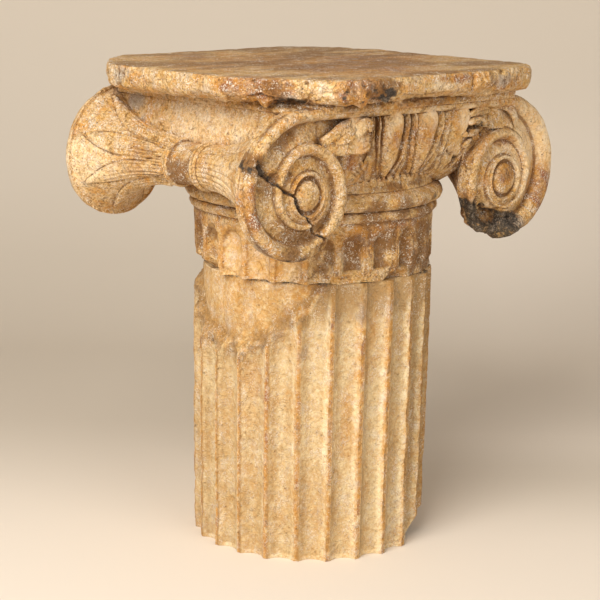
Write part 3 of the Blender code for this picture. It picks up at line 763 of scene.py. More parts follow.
# Each leaflet: its path, its half widths along it, its half thickness, and -1 in front or 1 behind.
LEAVES = {
    "front_ground": (
        [
            (-0.146, 0.5200, 0.159), (-0.124, 0.5250, 0.1640), (-0.104, 0.5290, 0.1655),
            (-0.0735, 0.5310, 0.1645),
        ],
        (0.0100, 0.0180, 0.0210, 0.0165), 0.0046, -1
    ),
    "front_upper": (
        [
            (-0.146, 0.5230, 0.159), (-0.136, 0.5297, 0.1630), (-0.122, 0.5370, 0.1655),
            (-0.108, 0.5435, 0.1665), (-0.0977, 0.5480, 0.1645),
        ],
        (0.0036, 0.0056, 0.0066, 0.0062, 0.0042), 0.0038, -1
    ),
    "front_main": (
        [
            (-0.132, 0.5210, 0.161), (-0.120, 0.5265, 0.1655), (-0.106, 0.5325, 0.1685),
            (-0.093, 0.5390, 0.1700), (-0.0835, 0.5440, 0.1700),
        ],
        (0.0036, 0.0060, 0.0076, 0.0080, 0.0066), 0.0044, -1
    ),
    "front_curl": (
        [
            (-0.0930, 0.5450, 0.168), (-0.0850, 0.5460, 0.1720), (-0.0785, 0.5410, 0.1735),
            (-0.0810, 0.5345, 0.1715),
        ],
        (0.0030, 0.0046, 0.0052, 0.0040), 0.0036, -1
    ),
    "front_lower": (
        [
            (-0.134, 0.5225, 0.160), (-0.118, 0.5185, 0.1650), (-0.101, 0.5155, 0.1680),
            (-0.087, 0.5155, 0.1690), (-0.0770, 0.5215, 0.1680),
        ],
        (0.0034, 0.0060, 0.0072, 0.0066, 0.0050), 0.0042, -1
    ),
    "right_upper": (
        [(0.150, 0.5420, 0.156), (0.134, 0.5450, 0.1610), (0.118, 0.5440, 0.1640), (0.102, 0.5400, 0.1620)],
        (0.0020, 0.0060, 0.0066, 0.0036), 0.0050, -1
    ),
    "right_main": (
        [(0.142, 0.5245, 0.160), (0.128, 0.5300, 0.1640), (0.114, 0.5330, 0.1660), (0.100, 0.5310, 0.1650)],
        (0.0024, 0.0054, 0.0058, 0.0036), 0.0054, -1
    ),
    "right_lower": (
        [(0.140, 0.5165, 0.150), (0.124, 0.5180, 0.1580), (0.108, 0.5180, 0.1610), (0.096, 0.5150, 0.1590)],
        (0.0020, 0.0046, 0.0050, 0.0024), 0.0048, -1
    ),
    "right_stump": (
        [(0.126, 0.5080, 0.150), (0.112, 0.5060, 0.1570), (0.100, 0.5010, 0.1560)], (0.0030, 0.0060, 0.0034),
        0.0050, -1
    ),
    "right_channel": (
        [
            (0.1600, 0.5480, 0.159), (0.1760, 0.5450, 0.1640), (0.1880, 0.5330, 0.1650),
            (0.1925, 0.5180, 0.1630),
        ],
        (0.0020, 0.0060, 0.0056, 0.0018), 0.0042, -1
    ),
    "back_left_upper": (
        [(-0.131, 0.5200, 0.166), (-0.112, 0.5330, 0.1720), (-0.092, 0.5460, 0.1710)], (0.003, 0.007, 0.003),
        0.0050, 1
    ),
    "back_left_lower": (
        [(-0.131, 0.5170, 0.166), (-0.110, 0.5200, 0.1720), (-0.086, 0.5210, 0.1690)], (0.003, 0.0065, 0.003),
        0.0050, 1
    ),
    "back_right_upper": (
        [(0.131, 0.5110, 0.166), (0.112, 0.5250, 0.1720), (0.092, 0.5400, 0.1710)], (0.003, 0.007, 0.003),
        0.0050, 1
    ),
    "back_right_lower": (
        [(0.131, 0.5080, 0.166), (0.110, 0.5110, 0.1720), (0.086, 0.5120, 0.1690)], (0.003, 0.0065, 0.003),
        0.0050, 1
    ),
}
leaves = [leaflet(name, *shape) for name, shape in LEAVES.items()]

# %% [markdown]
# ## One skin
#
# The forms overlap, so they are joined by Boolean unions, one after another. The result is one closed mesh.

# %% The union


def mesh_edges(mesh):
    """The two ends of every edge, as two rows of point numbers."""
    edges = np.empty(len(mesh.edges) * 2, np.int32)
    mesh.edges.foreach_get("vertices", edges)
    return edges.reshape(-1, 2).T


def drop_crumbs(mesh):
    """Keeps the biggest connected part. Points that share an edge take the lower label until none changes."""
    start, end = mesh_edges(mesh)
    label, before = np.arange(len(mesh.vertices)), None
    while before is None or (label != before).any():
        before = label.copy()
        np.minimum.at(label, start, label[end])
        np.minimum.at(label, end, label[start])
        label = label[label]
    crumbs = np.flatnonzero(label != np.bincount(label).argmax())
    form = bmesh.new()
    form.from_mesh(mesh)
    form.verts.ensure_lookup_table()
    bmesh.ops.delete(form, geom=[form.verts[i] for i in crumbs], context="VERTS")
    form.to_mesh(mesh)
    form.free()
    print("crumb points dropped:", len(crumbs))


def joined(name, base, others):
    """Everything in others united with base, as one plain mesh object. The separate forms are removed."""
    for other in others:
        union = base.modifiers.new(other.name, "BOOLEAN")
        union.operation, union.solver, union.object = "UNION", "MANIFOLD", other
    graph = bpy.context.evaluated_depsgraph_get()
    mesh = bpy.data.meshes.new_from_object(base.evaluated_get(graph))
    mesh.name = name
    drop_crumbs(mesh)
    for form in [base] + others:
        bpy.data.objects.remove(form)
    obj = bpy.data.objects.new(name, mesh)
    bpy.context.scene.collection.objects.link(obj)
    return obj


forms = [collar, rings, echinus, plate, abacus, left_bolster, right_bolster, front_volutes, back_volutes]
capital = joined("carved_capital", block, forms + leaves)
print("capital:", len(capital.data.vertices), "points,", len(capital.data.polygons), "faces")

# %% [markdown]
# ## Wear
#
# Out of doors marble loses its edges first. A point's wear can be told from the shape round it: the surface
# is smoothed by moving every point to the middle of its neighbours again and again, and the distance back to
# the point, along its normal, is positive in a hollow and negative on an edge. Hollows will take the dirt and
# the painted shade, and edges are rubbed down here. Cracks, breaks and holes are put where this stone has
# them.

# %% Reading a mesh, and moving its points


def vectors(rows, key):
    values = np.empty(len(rows) * 3, np.float32)
    rows.foreach_get(key, values)
    return values.reshape(-1, 3).astype(float)


def mesh_points(mesh):
    return vectors(mesh.vertices, "co")


def mesh_normals(mesh):
    return vectors(mesh.vertex_normals, "vector")


def relief_at(mesh, rounds):
    """Metres from each point up to the surface smoothed by that many rounds. Edges are negative."""
    start, end = mesh_edges(mesh)
    points, normals = mesh_points(mesh), mesh_normals(mesh)
    count = len(points)
    near = np.bincount(start, minlength=count) + np.bincount(end, minlength=count)
    found, smooth = [], points.copy()
    for step in range(1, max(rounds) + 1):
        total = np.empty_like(smooth)
        for axis in range(3):
            ahead = np.bincount(start, smooth[end, axis], count)
            total[:, axis] = ahead + np.bincount(end, smooth[start, axis], count)
        smooth = 0.5 * smooth + 0.5 * total / near[:, None]
        if step in rounds:
            found.append(((smooth - points) * normals).sum(axis=1))
    return found


def move_points(mesh, points):
    mesh.vertices.foreach_set("co", points.astype(np.float32).ravel())
    mesh.update()


def near_path(points, path, axes=(0, 2)):
    """Distance from a polyline, seen along the axis that is left out, and the share of its length there."""
    flat, best, along = points[:, axes], np.full(len(points), 9.0), np.zeros(len(points))
    for i, (a, b) in enumerate(zip(np.array(path[:-1]), np.array(path[1:]))):
        share = np.clip(((flat - a) @ (b - a)) / ((b - a) @ (b - a)), 0, 1)
        away = np.linalg.norm(flat - a - share[:, None] * (b - a), axis=1)
        along = np.where(away < best, (i + share) / (len(path) - 1), along)
        best = np.minimum(best, away)
    return best, along


def near_spot(points, spot, reach):
    """1 at the spot, falling to 0 at the given reach along each axis."""
    away = np.linalg.norm((points - np.array(spot)) / np.array(reach), axis=1)
    return 1 - ease(away, 0, 1)


# %% [markdown]
# The left volute is cracked from its side band down across the eye. The lower rim of the right volute has
# broken away and left a rough black bed. Both corners of the abacus that show are rough breaks.

# %% Wear on the capital
CRACK = [
    (-0.2620, 0.5075), (-0.2415, 0.5036), (-0.2250, 0.4895), (-0.2097, 0.4787), (-0.1912, 0.4691),
    (-0.1817, 0.4535), (-0.1673, 0.4384), (-0.1543, 0.4221), (-0.1382, 0.4145),
]
CREVICE = [(-0.2660, 0.5060), (-0.2480, 0.5110), (-0.2400, 0.5020), (-0.2250, 0.4930)]
NOTCH = [(0.0800, 0.4965), (0.0945, 0.4900), (0.0965, 0.4760)]
HUSK_LINE = [(-0.0605, 0.5460), (-0.0605, 0.5190), (-0.0660, 0.5010), (-0.0810, 0.4850)]
LOW_BREAK = [(-0.1500, 0.4080), (-0.1380, 0.4140), (-0.1240, 0.4200)]
DRILLED = [(0.1109, 0.5263), (0.1278, 0.5264), (0.1452, 0.5227), (0.1056, 0.5205), (0.1361, 0.5146)]
DEEP_HOLES = [
    (0.0995, 0.4260), (0.1410, 0.4230), (0.1640, 0.4130), (0.1550, 0.4040), (0.1920, 0.3990),
    (0.1200, 0.4330),
]
# Breaks of the abacus: the middle of each, how far it reaches along each axis, and how rough it is.
BREAKS = {
    "left_corner": ((-0.228, 0.098, 0.583), (0.040, 0.070, 0.06), 1.0),
    "near_corner": ((-0.196, -0.146, 0.583), (0.062, 0.070, 0.06), 1.2),
    "front_break": ((-0.110, -0.205, 0.580), (0.085, 0.060, 0.05), 0.9),
    "right_facet": ((0.115, -0.205, 0.585), (0.050, 0.060, 0.04), 0.7),
}


def spots(points, places, reach):
    """1 near any of the places, seen from the front, falling to 0 at the given reach."""
    away = [np.linalg.norm(points[:, [0, 2]] - place, axis=1) for place in np.array(places)]
    return np.max([1 - ease(distance, 0.2 * reach, reach) for distance in away], axis=0)


def capital_masks(points):
    """Where the cracks and breaks of the capital are, from 0 to 1, by name."""
    front = ease(-points[:, 1], 0.138, 0.150)
    rough = cloud(points, 0.012, 3, 5) - 0.5
    wide = cloud(points, 0.030, 3, 1) - 0.5
    crack, along = near_path(points, CRACK)
    crevice, _ = near_path(points, CREVICE)
    low, _ = near_path(points, LOW_BREAK)
    x, z = points[:, 0], points[:, 2]
    border = 0.4470 - 0.265 * (x - 0.0755) + 0.022 * wide
    rim = ease(border - z, -0.001, 0.006) * ease(x, 0.05, 0.07) * (1 - ease(x + 0.06 * wide, 0.190, 0.225))
    width = 0.0008 + 0.0012 * (1 - along)
    masks = {
        "crack": (1 - ease(crack + 0.003 * rough, 0.3 * width, width + 0.0012)) * front,
        "crevice": (1 - ease(crevice + 0.016 * rough, 0.002, 0.009)) * front,
        "low_break": (1 - ease(low + 0.008 * rough, 0.002, 0.008)) * front,
        "broken_rim": rim * ease(0.45 - z, 0, 0.004) * front,
        "drilled": spots(points, DRILLED, 0.0046) * front,
        "deep": spots(points, DEEP_HOLES, 0.0100) * front,
    }
    high = ease(z, 0.5600, 0.5700) * (1 - ease(z, 0.5965, 0.5980))
    for name, (spot, reach, _) in BREAKS.items():
        masks[name] = high * near_spot(points, spot, reach)
    outward = ease(-points[:, 1] - 0.6 * x, 0.14, 0.20)
    masks["low_edge"] = ease(z, 0.560, 0.566) * (1 - ease(z, 0.573, 0.580)) * outward
    masks["side"] = high
    masks["side_groove"] = high * bump(x, 0.0655, 0.0022) * ease(-points[:, 1], 0.185, 0.195)
    masks["notch"] = (1 - ease(near_path(points, NOTCH)[0], 0.0005, 0.0030)) * front
    masks["husk_line"] = (1 - ease(near_path(points, HUSK_LINE)[0], 0.0004, 0.0026)) * front
    return masks


mesh = capital.data
points, normals = mesh_points(mesh), mesh_normals(mesh)
fine, broad = relief_at(mesh, (3, 16))
masks = capital_masks(points)
edge = ease(-broad, 0.0004, 0.0030)
worn = -0.0014 * edge * ease(cloud(points, 0.018, 4, 1), 0.42, 0.70)
worn += 0.0018 * (cloud(points, 0.050, 4, 2) - 0.5) + 0.0014 * (cloud(points, 0.011, 3, 0) - 0.5)
crust, blocky = cloud(points, 0.015, 4, 6) - 0.5, cloud(points, 0.032, 3, 7) - 0.5
holes = 1 - ease(pits(points, 0.011, 3), 0.10, 0.42)
rough = sum(share * masks[name] for name, (_, _, share) in BREAKS.items())
worn += rough * (0.0105 * crust + 0.0080 * blocky - 0.0030 * holes)
worn += masks["low_edge"] * (0.0110 * crust + 0.0080 * blocky - 0.0030)
worn += masks["broken_rim"] * (0.0160 * crust + 0.0100 * blocky - 0.0030 * holes - 0.0010)
ridged = np.abs(cloud(points * [1, 1, 0.5], 0.026, 4, 5) - 0.5)
ridged = ridged + 0.5 * np.abs(cloud(points, 0.012, 3, 2) - 0.5)
worn += masks["side"] * (0.0090 * (ridged - 0.10) + 0.0030 * crust)
worn -= 0.0034 * masks["side_groove"]
inward = np.zeros_like(points)
# How deep each crack, hole and notch is cut.
CUTS = {
    "crack": 0.0050, "crevice": 0.0075, "drilled": 0.0085, "low_break": 0.0050, "deep": 0.0090,
    "notch": 0.0060, "husk_line": 0.0025,
}
for name, deep in CUTS.items():
    # The cut stops short of the outline, where it would fold the rim over.
    inward[:, 1] += deep * masks[name] * (0.1 + 0.9 * ease(points[:, 0], -0.254, -0.243))
# Below the right volute's eye and towards the middle, the bed of its broken rim lies deeper.
away = np.hypot((points[:, 0] - EYE_X + 0.035) / 0.052, (points[:, 2] - EYE_Z[1, -1] + 0.068) / 0.036)
inward[:, 1] += 0.0100 * (1 - ease(away, 0.75, 1.1)) * (points[:, 1] < -0.14)
move_points(mesh, points + normals * worn[:, None] + inward)
print(f"capital worn by up to {1000 * -worn.min():.1f} mm")

# %% [markdown]
# ## Dirt, painted shade and light, rust and soot as values on the points
#
# Each stain is a number from 0 to 1 stored on every point. Hollows collect dark dirt, edges are rubbed pale
# or orange, iron in the stone has bled rust and soot crusts sit where rain doesn't reach. Painted shade is
# stored with the dirt, on the front and right of the capital, in the egg grooves, under the collar's flute
# heads and on the shaded walls and side of the drum. Painted light is stored with the pale patches, on the
# raised eggs, on a few spots that stand in shadow and on the side of the drum that faces the key lamp.
# Large patches are given by their place on this stone, and noise breaks up their outlines. The material
# reads these numbers and adds the grain, which is finer than the mesh.

# %% Stains


def give(obj, **stains):
    for name, values in stains.items():
        attribute = obj.data.attributes.new(name, "FLOAT", "POINT")
        attribute.data.foreach_set("value", np.clip(values, 0, 1).astype(np.float32))


def patches(points, rows):
    """The strongest of several patches: x, y, z and a reach along each, in millimetres, and a strength."""
    rows = [(np.array(row[:3]) / 1000, np.array(row[3:6]) / 1000, row[6]) for row in rows]
    return np.max([strength * near_spot(points, spot, reach) for spot, reach, strength in rows], axis=0)


points = mesh_points(mesh)
fine, broad = relief_at(mesh, (3, 16))
masks = capital_masks(points)
grain, coarse, speck = cloud(points, 0.022, 4, 3), cloud(points, 0.075, 4, 6), cloud(points, 0.009, 3, 0)
# Painted shade: broad hollows are painted darker towards the front and the right.
shaded = ease(-points[:, 1] + 0.4 * points[:, 0], 0.06, 0.13)
hollow = ease(fine, 0.00003, 0.00040) * 0.75 + ease(broad, 0.0004, 0.0026) * (0.25 + 0.65 * shaded)
# Dark patches of dirt. Those on the front of the collar, its ledge and rings, under the volutes and under the
# abacus are painted shade as well as dirt.
DIRT_AND_SHADE_SPOTS = [
    (0, -150, 432, 200, 80, 34, 1.20),
    (10, -150, 462, 140, 60, 12, 0.90),
    (-150, -60, 432, 60, 120, 34, 0.60),
    (-160, -165, 396, 100, 40, 40, 1.60),
    (60, -140, 362, 100, 60, 30, 2.00),
    (20, -145, 400, 110, 60, 26, 1.20),
    (-85, -202, 582, 40, 35, 26, 2.00),
    (-204, -142, 584, 30, 34, 22, 1.00),
    (171, -160, 462, 22, 30, 22, 0.80),
    (30, -175, 562, 200, 40, 10, 0.75),
    (-205, 8, 480, 50, 30, 40, 1.25),
    (-180, 130, 555, 30, 60, 30, 0.20),
    (-185, -110, 545, 40, 50, 40, 0.45),
    (-130, 90, 390, 60, 60, 50, 0.70),
    (240, -160, 400, 60, 40, 50, 0.65),
    (-190, -165, 450, 70, 30, 60, 0.45),
    (171, -165, 435, 60, 30, 30, 0.45),
    (-256, -160, 509, 34, 34, 22, 2.60),
    (-256, -170, 466, 30, 18, 40, 0.90),
]
# Ochre lines the rim of each flute of the collar. The raised parts of the eggs are kept free of dirt and
# painted pale, a painted highlight, and their grooves are painted dark, a painted shade. The sunk channels of
# the front volutes are darker, less so on the right volute.
angle, radius = np.arctan2(points[:, 1], points[:, 0]), np.hypot(points[:, 0], points[:, 1])
height = points[:, 2]
on_collar = (radius < 0.152) * (1 - ease(height, 0.411, 0.414)) * ease(height, 0.3485, 0.352)
sunk = flute_depth(off_flute(angle, COLLAR_TURN), height - FLUTE_HEAD, COLLAR_RADIUS)
rim_line = on_collar * bump(sunk, 0.0014, 0.0018)
band = ease(height, 0.468, 0.474) * (1 - ease(height, 0.552, 0.556))
on_eggs = band * (np.abs(points[:, 0]) < 0.132) * (points[:, 1] < -0.10) * (radius < 0.200)
carved = egg_relief(angle, height)
egg_top = on_eggs * ease(carved, 0.0005, 0.0055)
egg_groove_shade = on_eggs * ease(-carved, 0.0035, 0.0085)
on_face = (points[:, 1] < -0.140) * (np.abs(points[:, 0]) > 0.085) * (height < 0.560)
under = points[:, 1] + FACE_Y[-1]
channel = on_face * ease(under, 0.0025, 0.0080) * (1 - ease(under, 0.012, 0.016))
hollow = (
    hollow * (1 - 0.85 * egg_top) + 0.90 * egg_groove_shade
    + 0.80 * channel * (1 - 0.7 * (points[:, 0] > 0)) * ease(cloud(points, 0.030, 4, 1), 0.30, 0.62)
)
hollow += patches(points, DIRT_AND_SHADE_SPOTS) * (0.30 + 0.9 * ease(grain, 0.35, 0.65))
clean = near_spot(points, (-0.140, -0.045, 0.380), (0.070, 0.105, 0.060))
hollow *= 1 - 0.75 * ease(clean, 0, 0.5)
# Painted shade: a dark line just inside the rim of each collar flute, strongest under its round head.
upwards = 0.6 + 0.4 * ease(height, FLUTE_HEAD - 0.004, FLUTE_HEAD + 0.008)
hollow += 0.85 * on_collar * bump(sunk, 0.0026, 0.0022) * upwards
SOOT_SPOTS = [
    (-254, -162, 508, 30, 30, 18, 1.1),
    (-140, -169, 414, 20, 30, 12, 0.8),
    (-190, -160, 396, 60, 40, 20, 0.8),
    (108, -165, 420, 50, 40, 26, 1.2),
    (160, -165, 404, 50, 40, 24, 1.2),
    (-190, -152, 571, 45, 45, 9, 1.3),
    (-74, -202, 577, 40, 30, 18, 1.3),
    (-20, -190, 568, 120, 30, 7, 0.9),
    (120, -170, 522, 40, 30, 20, 0.8),
    (-105, -160, 532, 30, 20, 14, 0.5),
    (-205, 4, 487, 40, 24, 40, 0.45),
    (-225, 55, 485, 40, 30, 30, 0.5),
    (-214, -20, 567, 30, 120, 6, 1.0),
    (0, -150, 388, 60, 30, 26, 0.5),
    (-170, 148, 560, 20, 30, 20, 0.7),
]
soot = patches(points, SOOT_SPOTS)
mottled = soot + 1.2 * (grain - 0.5) + 0.5 * (speck - 0.5)
soot = ease(mottled, 0.40, 1.10) * ease(soot, 0.02, 0.25) * (0.25 + 0.75 * ease(speck, 0.40, 0.62))
holes = 1 - ease(pits(points, 0.011, 3), 0.10, 0.42)
broken_edge = ease(masks["near_corner"] + masks["front_break"] + 0.5 * masks["left_corner"], 0.15, 0.6)
soot = np.maximum(soot, broken_edge * (0.85 * holes + 0.6 * ease(broad, 0.0012, 0.0030)))
for name, share in (("crack", 0.8), ("drilled", 0.9), ("deep", 0.9), ("notch", 0.6), ("husk_line", 0.5)):
    soot = np.maximum(soot, share * masks[name])
soot = np.maximum(soot, 0.75 * masks["crevice"] * ease(speck, 0.36, 0.58))
soot = np.maximum(soot, masks["broken_rim"] * (0.74 + 0.26 * ease(cloud(points, 0.014, 3, 2), 0.42, 0.60)))
RUST_SPOTS = [
    (-130, -202, 585, 70, 30, 30, 2.0),
    (-208, -150, 586, 36, 42, 30, 2.4),
    (-88, -160, 495, 28, 30, 34, 1.3),
    (171, -160, 462, 26, 30, 26, 1.8),
    (-205, -130, 586, 50, 60, 30, 2.2),
    (-230, 60, 586, 20, 50, 30, 0.7),
    (-230, -90, 588, 20, 34, 24, 1.2),
    (-232, -20, 586, 26, 100, 30, 0.40),
    (60, -205, 585, 120, 30, 22, 0.50),
    (120, -205, 580, 90, 30, 20, 0.9),
    (-130, 0, 408, 50, 120, 10, 1.0),
    (40, -202, 592, 120, 30, 10, 0.9),
    (-262, -155, 470, 30, 40, 50, 0.7),
    (-222, -165, 425, 40, 40, 50, 0.5),
    (-150, -166, 392, 50, 40, 20, 0.7),
    (-195, 0, 487, 50, 26, 40, 0.9),
    (0, -150, 414, 120, 60, 18, 1.0),
    (-62, -140, 400, 60, 60, 40, 0.8),
    (45, -145, 400, 30, 40, 30, 0.8),
    (0, -165, 560, 140, 30, 10, 0.8),
    (-136, 55, 400, 30, 40, 50, 1.0),
    (245, -160, 430, 36, 50, 70, 1.3),
    (171, -165, 504, 45, 30, 14, 0.9),
    (0, -175, 515, 120, 30, 50, 1.0),
    (-235, 110, 500, 60, 80, 80, 0.55),
    (-256, -170, 462, 34, 22, 50, 1.7),
    (-171, -168, 440, 80, 30, 60, 0.6),
    (-150, -168, 540, 50, 30, 30, 0.7),
    (0, -165, 500, 60, 30, 40, 0.6),
    (-200, -140, 500, 50, 60, 60, 0.5),
    (0, 0, 598, 400, 400, 8, 0.92),
]
rust = patches(points, RUST_SPOTS)
rust = ease(rust + 0.9 * (coarse - 0.5) + 0.5 * (grain - 0.5), 0.15, 0.95)
below_head = 1 - ease(height, FLUTE_HEAD, FLUTE_HEAD + 0.008)
ridge = on_collar * ease(off_flute(angle, COLLAR_TURN), 0.72, 0.82) * below_head
rust = np.maximum(rust, np.maximum(0.80 * rim_line, 0.60 * ridge) * ease(speck, 0.15, 0.45))
rust = np.maximum(rust, egg_top * ease(0.520 - height, 0.0, 0.026) * 0.60)
# Pale patches. Some of them are painted light, where the stone stands in shadow, as marked.
PALE_AND_LIT_SPOTS = [
    (-232, -40, 586, 26, 75, 30, 0.32),
    # Painted light on the left wall, in the abacus's shadow.
    (-180, 0, 530, 40, 170, 60, 1.0),
    (-185, -70, 573.5, 12, 34, 4, 1.4),
    (-170, -190, 586, 34, 34, 22, 1.2),
    (-250, 140, 480, 70, 90, 110, 0.9),
    (-100, -100, 375, 110, 90, 50, 0.7),
    (-150, 0, 375, 30, 50, 50, 0.7),
    # Painted light on the eggs, in the abacus's shadow.
    (10, -175, 530, 120, 24, 40, 1.2),
    (-215, -90, 480, 60, 50, 50, 1.0),
    (-262, -146, 455, 20, 18, 60, 1.6),
    (20, -205, 587, 60, 30, 22, 0.9),
    # Painted light on the right volute's face.
    (225, -165, 500, 70, 50, 100, 2.4),
    (190, -165, 490, 60, 40, 50, 1.2),
    (-171, -165, 520, 50, 30, 30, 0.3),
    (90, -160, 460, 20, 30, 20, 0.9),
    # A painted highlight along the top edge of the eggs.
    (40, -175, 551, 60, 20, 3, 0.9),
]
pale = patches(points, PALE_AND_LIT_SPOTS)
pale = ease(pale + 0.9 * (coarse - 0.5) + 0.3 * (grain - 0.5), 0.15, 0.85)
# Painted highlight: the raised parts of the eggs are painted pale, most near their tops.
pale = np.maximum(pale, egg_top * (0.45 + 0.55 * ease(height, 0.512, 0.530)))
in_flutes = on_collar * ease(clean, 0.05, 0.4) * ease(sunk, 0.0025, 0.0055)
pale = np.maximum(pale, 0.35 * in_flutes)
calm = np.maximum(0.6 * on_collar * ease(clean, 0.05, 0.4), 0.75 * egg_top)
calm = np.maximum(calm, 0.6 * near_spot(points, (0.235, -0.165, 0.500), (0.050, 0.050, 0.090)))
GREY_SPOTS = [
    (-228, 95, 585, 30, 40, 30, 1.0),
    (115, -205, 586, 50, 40, 22, 1.0),
    (200, -190, 586, 40, 40, 20, 0.5),
    (-180, 125, 550, 30, 34, 30, 0.9),
    (-188, 105, 530, 30, 24, 30, 0.6),
    (-245, -165, 395, 60, 40, 50, 0.9),
    (-255, -165, 480, 30, 30, 30, 0.6),
    (-130, -165, 547, 40, 30, 10, 0.9),
    (20, -150, 390, 30, 30, 30, 0.7),
    (-240, -158, 405, 40, 40, 34, 0.9),
    (195, -165, 400, 40, 40, 24, 1.0),
    (-185, -145, 580, 30, 30, 14, 0.8),
    (0, -200, 575, 150, 40, 6, 0.6),
]
grey = patches(points, GREY_SPOTS)
grey = ease(grey + 1.1 * (grain - 0.5) + 0.5 * (speck - 0.5), 0.30, 1.0)
top = ease(points[:, 2], HEIGHT - 0.0016, HEIGHT - 0.0004)
streaks = cloud(points * [0.25, 1.0, 1.0], 0.012, 4, 2)
grey = np.maximum(grey * (1 - ease(clean, 0, 0.5)), top * (0.04 + 0.36 * ease(streaks, 0.34, 0.62)))
smears = cloud(points * [0.3, 1.0, 1.0], 0.024, 4, 5)
hollow = np.maximum(hollow, top * (0.31 + 0.46 * ease(smears, 0.38, 0.62)))
give(capital, hollow=hollow, soot=soot, rust=rust, pale=pale * (1 - 0.9 * top), grey=grey, calm=calm)

# %% [markdown]
# The drum is paler. Its arrises are crusted orange, its flutes are cream with brown and white crackle, and
# the bed of the flake is a smooth ochre with a reddish, rough edge. Its side towards the key lamp is painted
# paler still, painted light, and painted shade darkens the left wall of each flute, a line beside each arris,
# its right side and its top under the capital.

# %% Stains on the drum
mesh = drum.data
points = mesh_points(mesh)
angle, z = np.arctan2(points[:, 1], points[:, 0]), points[:, 2]
fine, broad = relief_at(mesh, (3, 12))
off = off_flute(angle, SHAFT_TURN)
# Painted shade: the left wall of each flute is painted darker than its right one, -1 and 1 in across.
across = across_flute(angle, SHAFT_TURN)
over = z - spall_edge(angle)
in_spall = ease(over, -0.002, 0.006) * (z < SHAFT_HEIGHT - 0.0002)
grain, coarse, speck = cloud(points, 0.022, 4, 2), cloud(points, 0.090, 4, 4), cloud(points, 0.009, 3, 1)
streak = cloud(points * [1, 1, 0.22], 0.020, 4, 5)
arris = ease(off, 0.80, 0.92) * (1 - in_spall)
near_edge = bump(over, 0.009, 0.017)
rust = 0.85 * arris * ease(speck, 0.22, 0.48) + 0.35 * ease(streak, 0.50, 0.70) * (1 - arris)
under_flake = patches(points, [(-133, -64, 222, 45, 50, 50, 1.0)])
rust += 0.35 * ease(coarse, 0.52, 0.75) + 0.5 * under_flake * ease(streak, 0.46, 0.60)
# Painted shade: an ochre line inside each flute, beside its right arris.
arris_shade_line = 0.85 * (1 - in_spall) * bump(across, 0.83, 0.07)
rust = np.maximum(rust, arris_shade_line * (0.45 + 0.55 * ease(streak, 0.35, 0.6)))
# The flake's bed is reddest along its edge, on its right side.
reddish = 1.1 * bump(over, 0.014, 0.020) * ease(grain, 0.36, 0.56) * ease(np.cos(angle + 1.6), 0.30, 0.85)
rust = rust * (1 - in_spall) + in_spall * (0.30 + 0.35 * ease(coarse, 0.42, 0.70) + reddish)
chip = chipped_side(angle) * (1 - ease(z, 0.018, 0.034))
flecks = 0.45 * bump(over, 0.001, 0.004) * ease(speck, 0.46, 0.60)
soot = np.maximum(0.9 * chip * ease(grain, 0.35, 0.6), flecks)
soot = np.maximum(soot, 0.6 * ease(z, SHAFT_HEIGHT - 0.008, SHAFT_HEIGHT) * ease(grain, 0.3, 0.6))
soot = np.maximum(soot, 0.4 * ease(speck, 0.62, 0.72) * bump(off, 0.80, 0.16))
beside_flake = near_spot(points, (-0.070, -0.130, 0.326), (0.018, 0.030, 0.028))
soot = np.maximum(soot, 0.55 * beside_flake * ease(streak, 0.38, 0.60))
GREY_ON_DRUM = [
    (-72, -129, 300, 20, 30, 56, 1.2),
    (-55, -138, 315, 24, 30, 36, 0.9),
    (-109, -100, 262, 30, 34, 30, 1.1),
    (-145, 30, 285, 30, 40, 40, 1.0),
]
grey = patches(points, GREY_ON_DRUM)
grey = 0.8 * ease(grey + 1.7 * (streak - 0.5) + 0.9 * (speck - 0.5), 0.35, 1.05)
grey = np.maximum(grey, 0.9 * bump(over, 0.004, 0.008) * ease(speck, 0.42, 0.58))
pale = (0.60 + 0.40 * ease(coarse, 0.35, 0.60)) * (1 - 0.35 * arris) * (1 - 0.55 * in_spall)
# Painted light: the side that faces the key lamp is painted paler.
pale = pale * (0.55 + 0.45 * ease(-np.cos(angle - 0.35) + 0.75, 0.2, 1.0))
grime_and_shade = (
    ease(fine, 0.00003, 0.0005) * 0.75 + ease(broad, 0.0006, 0.0030) * 0.20
    + 0.55 * near_edge * ease(speck, 0.4, 0.6)
)
# Painted shade: the left wall of each flute and a strip beside its right arris are darker.
grime_and_shade += (0.62 * ease(-across, 0.30, 0.98) + 0.30 * ease(across, 0.90, 0.97)) * (1 - in_spall)
shaded_side = ease(np.cos(angle + math.radians(25)), 0.35, 0.95)
# Painted shade on the right side, growing towards the top under the capital as a painted shadow.
grime_and_shade += (
    0.08 + in_spall * (0.17 + 0.24 * ease(grain, 0.40, 0.60))
    + shaded_side * (0.36 + 0.38 * ease(z, 0.20, 0.33)) * (0.5 + 0.9 * ease(streak, 0.35, 0.6))
)
# Painted shadow of the capital on the top of the drum's front.
grime_and_shade += 0.66 * ease(z, 0.290, 0.346) * ease(-np.sin(angle), 0.0, 0.7) * (1 - in_spall)
calm = 0.45 * (1 - shaded_side) * (1 - near_edge)
give(drum, hollow=grime_and_shade, soot=soot, rust=rust, pale=pale, grey=grey, calm=calm)

# %% [markdown]
# ## The marble
#
# Both blocks are one kind of stone: honey marble under a worn skin. The material mixes a few colours, one
# over another, in the order in which time laid them on. First the stone's own cream and honey, then ochre and
# rust, grey lichen, dark dirt in hollows and pits, and at last white crystals on the fresh grains. Painted
# shade is mixed in with the ochre and the dirt: an ambient occlusion node darkens the recesses, and the dirt
# stain carries more painted shade. Node trees are long to write out, so a small class lets the sums be
# written as sums.

# %% Shader sums


